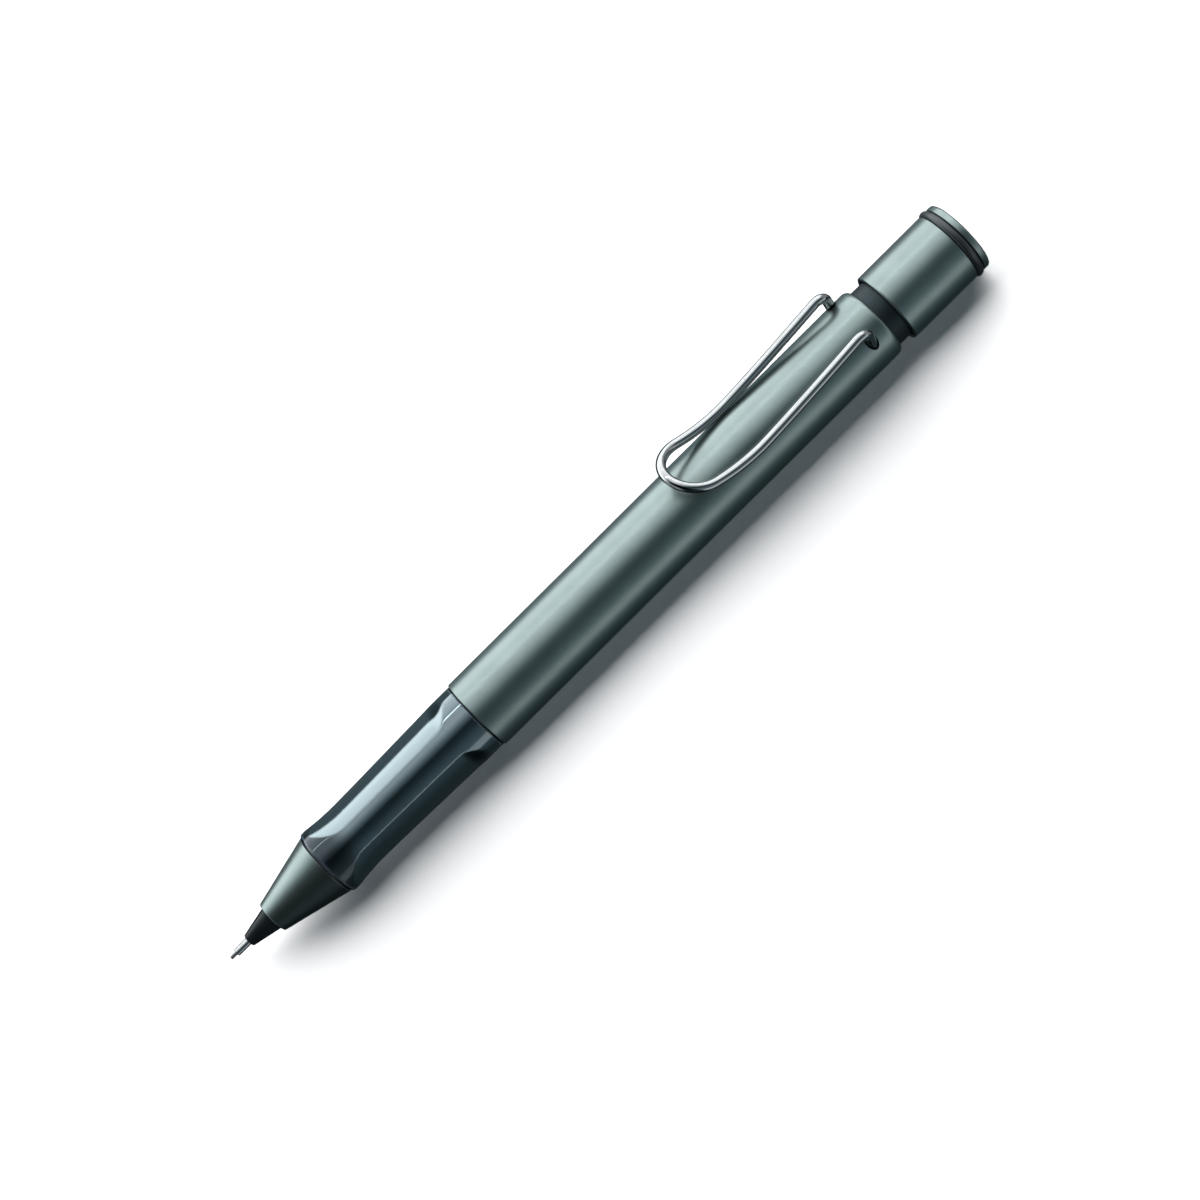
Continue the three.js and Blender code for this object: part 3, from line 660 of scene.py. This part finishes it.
def make_grip():
    start = ends("grip_section")[0]
    stop = ends("barrel")[0] - GRIP_GAP
    barrel = outer("barrel")
    bore = outer_sleeve_radius() - GRIP_BITE

    def body_radius(x):
        radius = barrel - smooth_through(GRIP_INSETS, x - start)
        for edge, size in ((x - start, FRONT_ROUND), (stop - x, REAR_ROUND)):
            if edge < size:
                radius -= size - math.sqrt(max(0, size ** 2 - (size - edge) ** 2))
        return radius

    def relief(x, reach, angle):
        if reach < bore + SAME:
            return reach
        centre = body_radius(x) - flat_depth(x - start) - FLAT_CURVE
        for side in (-1, 1):
            turn = FLAT_RIDGE + side * FLAT_HALF_ANGLE
            away = (angle - (math.pi / 2 + turn) + math.pi) % (2 * math.pi) - math.pi
            if abs(away) > math.radians(75):
                continue
            across = centre * math.sin(away)
            flat = centre * math.cos(away) + math.sqrt(FLAT_CURVE ** 2 - across ** 2)
            gap = (reach - flat) / FLAT_EASE
            reach -= FLAT_EASE * (math.log1p(math.exp(-abs(gap))) + max(gap, 0))
        return reach

    steps = 230
    turns = [math.pi / 2 * n / ROUND_STEPS for n in range(ROUND_STEPS)]
    xs = [start + FRONT_ROUND * (1 - math.cos(turn)) for turn in turns]
    xs += densify_line(start + FRONT_ROUND, stop - REAR_ROUND, steps)
    xs += [stop - REAR_ROUND * (1 - math.sin(turn)) for turn in reversed(turns)]
    outside = [(x, body_radius(x)) for x in xs]
    inside = [(x, bore) for x in densify_line(stop, start, 40)]
    bm = lathe(outside + inside, sides=360, relief=relief)
    # painted highlight mask: full on the finger flats, partly on the ridge past the plain front, none
    # on the end rims
    painted_highlight = bm.verts.layers.float.new("painted_highlight")
    # painted shade mask for the rounded end rims
    edge = bm.verts.layers.float.new("edge")
    for vert in bm.verts:
        vert[edge] = max(ease(0.5, 0.3, vert.co.x - start), ease(0.4, 0.25, stop - vert.co.x))
        radius = math.hypot(vert.co.y, vert.co.z)
        if radius > bore + SAME:
            cut = (body_radius(vert.co.x) - radius - FLAT_EASE) / FLAT_EASE
            front = ease(*GRIP_BALL, vert.co.x - start)
            # painted highlight level: the flats' cut depth, or the ridge's share
            shine = max(min(1.0, max(0.0, cut)), GRIP_PAINTED_HIGHLIGHT * front)
            vert[painted_highlight] = shine * (1 - vert[edge])
    return piece("grip_section_skin", bm, "holder", "smoke_plastic")


def densify_line(first, last, parts):
    return [first + (last - first) * n / parts for n in range(parts + 1)]


def make_sleeve():
    start, stop = ends("inner_sleeve")
    barrel_start = ends("barrel")[0]
    radius = outer_sleeve_radius()
    rear = outer("inner_sleeve")
    bore = outer("mechanism_housing", SMALL_ROUND) + RUNNING
    spigot = (bore + radius) / 2 + SEAT
    spigot_stop = ends("nose_cone")[1] + 0.15
    step = barrel_start + 0.15
    outline = rounded([
        (start, spigot, 0.08),
        (start, radius, 0.12),
        (step, radius, 0.05),
        (step, rear, 0.12),
        (stop, rear, 0.15),
        (stop, bore, 0.1),
        (spigot_stop, bore, 0.05),
        (spigot_stop, spigot, 0.05),
    ])
    outline = refine_at(outline, rear, 0.09)
    cut = thread(step + 1.2, stop - 0.6, rear, *SLEEVE_THREAD)
    bm = lathe(outline, sides=SIDES, relief=cut)
    return piece("inner_sleeve_skin", bm, "holder", "matt_black")


# ---------------------------------------------------------------- barrel, collar and clip
BARREL_WALL = 0.725
CLIP_HOLE_FROM_END = 3.1
CLIP_BEND = 1.5  # radius of each foot's bend
CLIP_WAIST_FROM_HOLE = 20.3
CLIP_RISE_FRONT = 0.03
CLIP_RISE_REAR = 0.058
CLIP_RISE_POWER = 1.25
CLIP_GAP = 0.06
CLIP_HOLE_GAP = 0.14
CLIP_FOOT_LEAN = 0.3
CLIP_HOLE_LEAN = 0.22
CLIP_FOOT_DEPTH = 1.5
CLIP_HOLE_DEPTH = 1.9
WIRE_RADIUS = 0.725


def clip_sizes():
    """The clip's hole station, half spacing and the barrel's height there."""
    barrel = outer("barrel")
    hole = ends("barrel")[1] - CLIP_HOLE_FROM_END
    low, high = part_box("clip")
    half = (high.y - low.y) / 2 / MM - WIRE_RADIUS
    top = math.sqrt(barrel ** 2 - (half - CLIP_HOLE_LEAN) ** 2)
    return hole, half, top


def clip_path():
    hole, half, top = clip_sizes()
    barrel = outer("barrel")
    waist = hole - CLIP_WAIST_FROM_HOLE
    low = math.sqrt((barrel + CLIP_GAP + WIRE_RADIUS) ** 2 - half ** 2)
    loop_front = ends("clip")[0] + WIRE_RADIUS
    centre = loop_front + half

    def height(x):
        past = x - waist
        if past < 0:
            return low + CLIP_RISE_FRONT * past ** 2
        return low + CLIP_RISE_REAR * past ** CLIP_RISE_POWER

    past = hole - CLIP_BEND - waist
    slope = math.atan(CLIP_RISE_REAR * CLIP_RISE_POWER * past ** (CLIP_RISE_POWER - 1))
    bend_start = hole - CLIP_BEND * (1 + math.sin(slope))
    bend_x = bend_start + CLIP_BEND * math.sin(slope)
    bend_z = height(bend_start) - CLIP_BEND * math.cos(slope)
    leg = []
    for step in range(21):
        turn = slope - (slope + math.pi / 2) * step / 20
        leg.append((bend_x - CLIP_BEND * math.sin(turn), bend_z + CLIP_BEND * math.cos(turn)))
    foot = top - CLIP_FOOT_DEPTH
    leg.append((hole, foot))
    leg.reverse()
    bend_top = height(bend_start)
    leg += [(x, height(x)) for x in densify_line(bend_start, centre, 120)[1:]]

    def aside(x, z):
        lean = max(0, (bend_top - z) / (bend_top - foot)) if x > bend_start else 0
        return half - CLIP_FOOT_LEAN * lean

    path = [Vector((x, aside(x, z), z)) for x, z in leg]
    for step in range(1, 96):
        turn = math.pi / 2 - math.pi * step / 96
        x = centre - half * math.cos(turn)
        path.append(Vector((x, half * math.sin(turn), height(x))))
    path += [Vector((x, -aside(x, z), z)) for x, z in reversed(leg)]
    return resample(path, 0.22)


def make_clip():
    return piece("clip_skin", wire(clip_path(), WIRE_RADIUS, sides=36), "clip", "chrome")


def drill_clip_holes(target):
    hole, half, top = clip_sizes()
    for side in (-1, 1):
        drilled(
            target, hole, side * (half - CLIP_HOLE_LEAN), top - CLIP_HOLE_DEPTH, outer("barrel") + 1,
            WIRE_RADIUS + CLIP_HOLE_GAP,
        )
    return target


def make_barrel():
    start, stop = ends("barrel")
    radius = outer("barrel")
    bore = radius - BARREL_WALL
    crown_length, crown_drop = 0.95, 0.675
    outline = rounded([
        (start + 4, bore), (start, bore, 0.1), (start, radius, 0.14), (stop - 8, radius),
    ], closed=False)[1:]
    holes = stop - CLIP_HOLE_FROM_END
    fine = densify_line(holes - 1.4, holes + 1.4, 14)
    outline += [(x, radius) for x in fine]
    for step in range(13):
        turn = math.pi / 2 * step / 12
        outline.append((
            stop - crown_length + crown_length * math.sin(turn),
            radius - crown_drop + crown_drop * math.cos(turn),
        ))
    outline += [(stop, bore)]
    outline += [(x, bore) for x in reversed(fine)]
    bm = lathe(outline, sides=FINE_SIDES)
    return drill_clip_holes(piece("barrel_skin", bm, "holder", "satin_metal"))


def make_collar():
    start, stop = ends("neck_collar")
    radius = outer("neck_collar")
    bore = outer("eraser_holder", SMALL_ROUND) + 3 * RUNNING
    web_bore = outer("lead_magazine", SMALL_ROUND) + RUNNING + 0.05
    outline = rounded([
        (start, web_bore, 0.1),
        (start, radius, 0.2),
        (stop, radius, 0.25),
        (stop, bore, 0.2),
        (start + 2, bore, 0.1),
        (start + 2, web_bore, 0.1),
    ])
    bm = lathe(densify(outline, 1.2), sides=SIDES)
    return drill_clip_holes(piece("neck_collar_skin", bm, "holder", "matt_black"))


# ---------------------------------------------------------------- cap
CAP_WALL = 0.55
RING_DEPTH = 1.24  # from the black ring's outside to the stem that it sits on
RING_THICK = 1.19


def make_cap():
    start, stop = ends("push_cap")
    radius = outer("push_cap")
    bore = radius - CAP_WALL
    stem = outer("o_ring") - RING_DEPTH
    lip = stop - 1.15
    bm = lathe(rounded([
        (start, bore, 0.12),
        (start, radius, 0.42),
        (stop, radius, 0.1),
        (stop, stem + SEAT, 0.05),
        (lip, stem + SEAT, 0.05),
        (lip, bore, 0.1),
    ]), sides=FINE_SIDES)
    return piece("push_cap_skin", bm, "cap", "satin_metal")


def make_liner():
    start, stop = ends("cap_liner")
    radius = outer("cap_liner", SMALL_ROUND)
    bore = outer("eraser_holder", SMALL_ROUND) + SEAT * 2
    floor = stop - 0.4
    ribs = 6

    def relief(x, reach, angle):
        if abs(reach - radius) > SAME or not start + 0.5 < x < stop - 0.3:
            return reach
        return reach - 0.35 * max(0, min(1, 1.6 * math.cos(ribs * angle)))

    outline = rounded([
        (floor, 0), (floor, bore, 0.1), (start, bore, 0.3), (start, radius, 0.2),
        (stop, radius, 0.15), (stop, 0),
    ], closed=False)
    bm = lathe(densify(outline, 0.4, closed=False), sides=SIDES, closed=False, relief=relief)
    return piece("cap_liner_skin", bm, "cap", "matt_black")


def make_ring():
    start, stop = ends("o_ring")
    radius = outer("o_ring")
    centre, middle = (start + stop) / 2, radius - RING_THICK / 2
    half_width = (stop - start) / 2
    outline = []
    for step in range(48):
        turn = math.pi + 2 * math.pi * step / 48
        outline.append((
            centre + half_width * math.cos(turn),
            middle - RING_THICK / 2 * math.sin(turn),
        ))
    return piece("o_ring_skin", lathe(outline, sides=FINE_SIDES), "cap", "rubber")


def make_disc():
    start, stop = ends("end_disc")
    radius = outer("end_disc")
    stem = outer("o_ring") - RING_DEPTH
    disc_start = ends("o_ring")[1] + 0.03
    bm = lathe(rounded([
        (start, 0),
        (start, stem, 0.2),
        (disc_start, stem, 0.04),
        (disc_start, radius, 0.18),
        (stop, radius, 0.42),
        (stop, radius - 1.4, 0.6),
        (stop - 0.02, radius - 1.8),
        (stop - 0.02, 0),
    ], closed=False), sides=FINE_SIDES, closed=False)
    return piece("end_disc_skin", bm, "cap", "satin_metal")


# ---------------------------------------------------------------- mechanism
CLUTCH_BORE = 2.0
STEM = 1.0
STEM_BORE = 0.45
RING_BORE = 1.2
JAW_HEAD = 1.35
MAGAZINE_RADIUS = 1.9
MAGAZINE_MOUTH = 16  # length of the wide rear of the magazine
MOUTH_WALL = 0.55


def make_housing():
    start, stop = ends("mechanism_housing")
    radius = outer("mechanism_housing", SMALL_ROUND)
    front = CLUTCH_BORE + 0.4
    bore = radius - 0.9
    guide = MAGAZINE_RADIUS + RUNNING
    shoulder = ends("clutch_ring")[1] + 1.4
    bm = lathe(rounded([
        (start, CLUTCH_BORE, 0.05),
        (start, front, 0.1),
        (start + 3.7, front, 0.3),
        (start + 4.7, radius, 0.3),
        (stop, radius, 0.2),
        (stop, guide, 0.1),
        (stop - 2, guide, 0.1),
        (stop - 2.5, bore, 0.1),
        (shoulder + 1.2, bore, 0.05),
        (shoulder + 1.2, STEM + 0.3, 0.05),
        (shoulder, STEM + 0.3, 0.05),
        (shoulder, CLUTCH_BORE, 0.05),
    ]), sides=96)
    return piece("mechanism_housing_skin", bm, "holder", "matt_black")


def make_clutch_ring():
    start, stop = ends("clutch_ring")
    radius = outer("clutch_ring", SMALL_ROUND)
    bm = lathe(rounded([
        (start, RING_BORE + 0.14, 0.05),
        (start, radius, 0.15),
        (stop, radius, 0.15),
        (stop, RING_BORE, 0.1),
        (start + 0.8, RING_BORE, 0.2),
    ]), sides=96)
    return piece("clutch_ring_skin", bm, "clutch_ring", "brass")


def make_jaw(index):
    """A third of the chuck's front, with flat sides that leave half a slit each."""
    name = f"chuck_jaw_{index + 1}"
    start = min(ends(f"chuck_jaw_{n}")[0] for n in (1, 2, 3))
    stop = max(ends(f"chuck_jaw_{n}")[1] for n in (1, 2, 3))
    grip = 0.27
    half_slit = 0.12
    outline = rounded([
        (start, grip + 0.08, 0.05),
        (start, JAW_HEAD, 0.12),
        (start + 1.2, JAW_HEAD, 0.2),
        (start + 2.8, STEM, 0.3),
        (stop, STEM, 0.08),
        (stop, STEM_BORE, 0.05),
        (start + 3.2, STEM_BORE, 0.1),
        (start + 3.0, grip, 0.05),
        (start + 0.2, grip, 0.05),
    ])
    outline = densify(outline, 0.5)
    middle = -math.pi / 2 - index * 2 * math.pi / 3
    columns = 18
    bm = bmesh.new()
    rows = []
    for x, radius in outline:
        half = math.pi / 3 - math.asin(min(1, half_slit / radius))
        row = []
        for column in range(columns + 1):
            angle = middle + half * (2 * column / columns - 1)
            row.append(bm.verts.new((x, radius * math.cos(angle), radius * math.sin(angle))))
        rows.append(row)
    for first, second in zip(rows, rows[1:] + rows[:1]):
        for column in range(columns):
            bm.faces.new([first[column], first[column + 1], second[column + 1], second[column]])
    sides = [bm.faces.new([row[0] for row in rows]), bm.faces.new([row[-1] for row in reversed(rows)])]
    bmesh.ops.triangulate(bm, faces=sides)
    bmesh.ops.recalc_face_normals(bm, faces=bm.faces)
    return piece(name + "_skin", bm, f"jaw_{index + 1}", "brass")


def make_stem():
    start, stop = ends("chuck_stem")
    bm = lathe(rounded([
        (start, STEM_BORE, 0.05), (start, STEM, 0.08), (stop, STEM, 0.15), (stop, STEM_BORE, 0.08),
    ]), sides=72)
    return piece("chuck_stem_skin", bm, "push_rod", "brass")


def make_spring():
    """A coil spring whose end turns lie close, as on a ground spring."""
    start, stop = ends("chuck_spring")
    wire_radius = 0.2
    radius = outer_spring() - wire_radius
    turns, closed_turns = 9, 1
    low, high = start + wire_radius, stop - wire_radius
    flat = 2.2 * wire_radius * closed_turns
    path = []
    steps = turns * 40
    for step in range(steps + 1):
        turn = turns * step / steps
        if turn < closed_turns:
            x = low + flat * turn / closed_turns
        elif turn > turns - closed_turns:
            x = high - flat * (turns - turn) / closed_turns
        else:
            share = (turn - closed_turns) / (turns - 2 * closed_turns)
            x = low + flat + (high - low - 2 * flat) * share
        angle = 2 * math.pi * turn
        path.append(Vector((x, radius * math.cos(angle), radius * math.sin(angle))))
    bm = wire(path, wire_radius, sides=14, end_round=0.1)
    spring = piece("chuck_spring_skin", bm, "holder", "steel")
    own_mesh(spring)
    return spring


def outer_spring():
    low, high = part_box("chuck_spring")
    return max(high.y, -low.y) / MM


# ---------------------------------------------------------------- magazine and eraser
def make_magazine():
    start, stop = ends("lead_magazine")
    radius, bore, mouth = MAGAZINE_RADIUS, 1.35, outer("lead_magazine", SMALL_ROUND)
    seat = mouth - MOUTH_WALL
    flare = stop - MAGAZINE_MOUTH
    stem_stop = ends("chuck_stem")[1]
    plug_floor = ends("eraser_holder")[0] - 1
    bm = lathe(rounded([
        (start, STEM + SEAT, 0.08),
        (start, radius, 0.2),
        (flare, radius, 0.4),
        (flare + 1, mouth, 0.4),
        (stop, mouth, 0.15),
        (stop, seat, 0.1),
        (plug_floor, seat, 0.1),
        (plug_floor - 0.6, bore, 0.1),
        (stem_stop + 1, bore, 0.1),
        (stem_stop + 0.3, STEM + SEAT, 0.1),
    ]), sides=96)
    return piece("lead_magazine_skin", bm, "push_rod", "matt_black")


def make_holder_cup():
    """Plug and cup of sheet steel, with two rolled grooves and a curled rim."""
    start, stop = ends("eraser_holder")
    radius = outer("eraser_holder", SMALL_ROUND)
    eraser = outer("eraser", SMALL_ROUND) + SEAT
    plug = outer("lead_magazine", SMALL_ROUND) - MOUTH_WALL - SEAT
    flange = ends("lead_magazine")[1] + 0.15
    floor = ends("eraser")[0] - 0.15
    needle = 0.22
    groove_depth, groove_width = 0.16, 0.22

    def relief(x, reach, angle):
        if abs(reach - radius) > SAME:
            return reach
        for groove in (floor + 2.2, floor + 3.4):
            reach -= groove_depth * math.exp(-(((x - groove) / groove_width) ** 2))
        return reach

    outline = rounded([
        (start, needle, 0.05),
        (start, plug, 0.25),
        (flange, plug, 0.05),
        (flange, radius, 0.2),
        (stop, radius, 0.12),
        (stop, eraser, 0.1),
        (floor, eraser, 0.05),
        (floor, needle, 0.05),
    ])
    bm = lathe(densify(outline, 0.1), sides=96, relief=relief)
    return piece("eraser_holder_skin", bm, "eraser_unit", "steel")


def make_eraser():
    start, stop = ends("eraser")
    radius = outer("eraser", SMALL_ROUND)
    bm = lathe(densify(rounded([
        (start, 0), (start, radius, 0.15), (stop, radius, 0.5), (stop, 0),
    ], closed=False), 0.8, closed=False), sides=96, closed=False)
    return piece("eraser_skin", bm, "eraser_unit", "eraser_white")


def make_needle():
    start, stop = ends("cleaning_needle")
    radius = outer("cleaning_needle", THIN_ROUND)
    bm = lathe(rounded([
        (start, 0), (start + 0.3, radius, 0.2), (stop, radius, 0.05), (stop, 0),
    ], closed=False), sides=32, closed=False)
    return piece("cleaning_needle_skin", bm, "eraser_unit", "steel")


# ---------------------------------------------------------------- studio
VIEW_TILT = math.radians(60)  # how high the camera stands above the table, as an angle
VIEW_ROLL = math.radians(44.78)
VIEW_DISTANCE = 338
VIEW_WIDTH = 162.4
VIEW_AIM = (0.06, -0.73)  # along and across the pencil, from its middle
SENSOR = 36
# the studio around the pencil, in metres
FLOOR_REACH = 4.0
BACKDROP_RADIUS = 1.0
SOFTBOX_DISTANCE = 0.6
SOFTBOX_LENGTH = 2.0


def studio_axes():
    """Towards the camera, and up across the pencil as the camera sees it."""
    towards = Vector((0, -math.cos(VIEW_TILT), math.sin(VIEW_TILT)))
    across = Vector((0, math.sin(VIEW_TILT), math.cos(VIEW_TILT)))
    return towards, across


def make_camera():
    towards, across = studio_axes()
    along = Vector((1, 0, 0))
    right = along * math.cos(VIEW_ROLL) - across * math.sin(VIEW_ROLL)
    up = along * math.sin(VIEW_ROLL) + across * math.cos(VIEW_ROLL)
    aim = Vector((0, 0, AXIS)) + along * VIEW_AIM[0] + across * VIEW_AIM[1]
    data = bpy.data.cameras.new("camera")
    data.sensor_width = SENSOR
    data.sensor_fit = "HORIZONTAL"
    data.lens = SENSOR * VIEW_DISTANCE / VIEW_WIDTH
    data.clip_start = 0.01
    camera = add_object("camera", data)
    turn = Matrix((right, up, towards)).transposed().to_4x4()
    camera.matrix_world = Matrix.Translation((aim + towards * VIEW_DISTANCE) * MM) @ turn
    bpy.context.scene.camera = camera


def softbox(name, screen_angle, half_angle, power, colour, shift=0.0):
    """A long panel beside the pencil. Reflections don't show it, so it mostly sets the shadow.

    screen_angle turns it from the camera to the far side, half_angle is how wide it looks, and
    shift moves it along the pencil.
    """
    towards, across = studio_axes()
    angle = math.radians(screen_angle)
    away = towards * math.cos(angle) + across * math.sin(angle)
    data = bpy.data.lights.new(name, "AREA")
    data.shape = "RECTANGLE"
    data.size = SOFTBOX_LENGTH
    data.size_y = 2 * SOFTBOX_DISTANCE * math.tan(math.radians(half_angle))
    data.energy = power
    data.color = colour
    light = add_object(name, data)
    side = Vector((1, 0, 0))
    turn = Matrix((side, away.cross(side), away)).transposed().to_4x4()
    light.matrix_world = Matrix.Translation(away * SOFTBOX_DISTANCE + side * shift) @ turn
    light.visible_camera = False
    light.visible_glossy = False
    light.visible_transmission = False


def make_floor():
    bm = bmesh.new()
    bmesh.ops.create_grid(bm, x_segments=8, y_segments=8, size=FLOOR_REACH)
    floor = add_mesh("floor", bm)
    material, tree, shader = new_material("floor", Roughness=0.7, Specular_IOR_Level=0.1)
    tint(tree, shader, noise(tree, 40), (0.88, 0.885, 0.89), (0.90, 0.905, 0.91))
    floor.data.materials.append(material)
    floor.visible_glossy = False


def make_backdrop():
    """A pale shell that only the camera sees, so a low view has no dark background."""
    bm = bmesh.new()
    bmesh.ops.create_uvsphere(bm, u_segments=64, v_segments=32, radius=BACKDROP_RADIUS)
    backdrop = add_mesh("backdrop", bm)
    material = bpy.data.materials.new("backdrop")
    material.use_nodes = True
    tree = material.node_tree
    glow = tree.nodes.new("ShaderNodeEmission")
    shade = tree.nodes.new("ShaderNodeMixRGB")
    shade.inputs["Color1"].default_value = (0.87, 0.88, 0.89, 1)
    shade.inputs["Color2"].default_value = (0.90, 0.91, 0.92, 1)
    tree.links.new(noise(tree, 0.5), shade.inputs["Fac"])
    tree.links.new(shade.outputs["Color"], glow.inputs["Color"])
    tree.links.new(glow.outputs["Emission"], tree.nodes["Material Output"].inputs["Surface"])
    backdrop.data.materials.append(material)
    for kind in ("diffuse", "glossy", "transmission", "volume_scatter", "shadow"):
        setattr(backdrop, "visible_" + kind, False)


SKY_STRENGTH = 4.6
# angle in degrees from the camera to the far side, and brightness there
SKY = (
    (-180, 0.005), (-116, 0.02), (-94, 0.05), (-84, 0.09), (-80, 0.31), (-62, 0.31), (-54, 0.11),
    (-40, 0.09), (-16, 0.035), (0, 0.018), (14, 0.17), (32, 0.50), (50, 0.50), (55.4, 0.46),
    (55.8, 2.6), (57.8, 2.6), (58.2, 0.46), (74, 0.64), (96, 0.80), (112, 0.94), (116, 0.07),
    (140, 0.06), (180, 0.006),
)
SKY_PAST_POINT = (
    (-180, 0.001), (-116, 0.002), (-72, 0.014), (-40, 0.003), (-16, 0.001), (0, 0.0005),
    (14, 0.001), (32, 0.02), (50, 0.20), (74, 0.66), (96, 0.92), (112, 0.98), (116, 0.03),
    (180, 0.003),
)
SKY_END = (0.135, 0.14, 0.142, 1)
SKY_POINT_END = (0.15, 0.16, 0.165, 1)
# where each takes over, as the cosine from the pencil's cap end
PAST_POINT = (-0.12, -0.34)
POINT_END = (-0.80, -0.97)
CAP_END = (0.75, 0.96)
COOL_BELOW = 0.32  # levels dimmer than this lean to blue


def world_ramp(tree, value, levels):
    """The studio's brightness as a colour, cooler where it is dim."""
    ramp = tree.nodes.new("ShaderNodeValToRGB")
    stops = ramp.color_ramp.elements
    while len(stops) < len(levels):
        stops.new(0.5)
    for stop, (degrees, level) in zip(stops, levels):
        cool = max(0.0, COOL_BELOW - level)
        stop.position = (degrees + 180) / 360
        stop.color = (level * (1 - cool), level, level * (1 + cool * 0.4), 1)
    tree.links.new(value, ramp.inputs["Fac"])
    return ramp.outputs["Color"]


def blend_colours(tree, factor, first, second):
    """Goes from the first colour to the second, which may be a constant."""
    mix = tree.nodes.new("ShaderNodeMix")
    mix.data_type = "RGBA"
    factor_in, first_in, second_in = mix.inputs[0], mix.inputs[6], mix.inputs[7]
    tree.links.new(factor, factor_in)
    tree.links.new(first, first_in)
    if isinstance(second, tuple):
        second_in.default_value = second
    else:
        tree.links.new(second, second_in)
    return mix.outputs[2]


def map_range(tree, value, first, last, kind="SMOOTHSTEP"):
    """0 at first and 1 at last."""
    node = tree.nodes.new("ShaderNodeMapRange")
    node.interpolation_type = kind
    node.inputs["From Min"].default_value = first
    node.inputs["From Max"].default_value = last
    tree.links.new(value, node.inputs["Value"])
    return node.outputs["Result"]


def maths(tree, operation, *values):
    node = tree.nodes.new("ShaderNodeMath")
    node.operation = operation
    for index, value in enumerate(values):
        tree.links.new(value, node.inputs[index])
    return node.outputs["Value"]


def make_world():
    """A studio seen in reflections: a bright far side, a dim near side and dark behind the camera.

    Directions past the point have levels of their own, and both ends close in a plain grey.
    """
    world = bpy.data.worlds.new("studio")
    world.use_nodes = True
    tree = world.node_tree
    background = tree.nodes["Background"]
    background.inputs["Strength"].default_value = SKY_STRENGTH
    place = tree.nodes.new("ShaderNodeTexCoord").outputs["Generated"]
    parts = []
    for axis in (*studio_axes(), Vector((1, 0, 0))):
        dot = tree.nodes.new("ShaderNodeVectorMath")
        dot.operation = "DOT_PRODUCT"
        dot.inputs[1].default_value = axis
        tree.links.new(place, dot.inputs[0])
        parts.append(dot.outputs["Value"])
    towards, across, along = parts
    angle = maths(tree, "ARCTAN2", across, towards)
    turn = map_range(tree, angle, -math.pi, math.pi, "LINEAR")
    past_point = map_range(tree, along, *PAST_POINT)
    sky = blend_colours(
        tree, past_point, world_ramp(tree, turn, SKY), world_ramp(tree, turn, SKY_PAST_POINT)
    )
    sky = blend_colours(tree, map_range(tree, along, *POINT_END), sky, SKY_POINT_END)
    sky = blend_colours(tree, map_range(tree, along, *CAP_END), sky, SKY_END)
    tree.links.new(sky, background.inputs["Color"])
    world.cycles_visibility.diffuse = False
    bpy.context.scene.world = world


def make_studio():
    make_camera()
    make_floor()
    make_backdrop()
    make_world()
    softbox("top", screen_angle=73, half_angle=42, power=24, colour=(1, 1, 1), shift=0.45)
    softbox("fill", screen_angle=-35, half_angle=40, power=1.9, colour=(0.76, 0.90, 1.0))
    bpy.context.scene.view_settings.view_transform = "Standard"


# ---------------------------------------------------------------- build
make_lead("lead", "lead")
for number in (1, 2, 3):
    make_lead(f"spare_lead_{number}", "push_rod")
make_lead_pipe()
make_retainer()
make_tip()
make_nose()
make_grip()
make_sleeve()
make_barrel()
make_collar()
make_clip()
make_cap()
make_liner()
make_ring()
make_disc()
make_housing()
make_clutch_ring()
for jaw in range(3):
    make_jaw(jaw)
make_stem()
make_spring()
make_magazine()
make_holder_cup()
make_eraser()
make_needle()
make_studio()
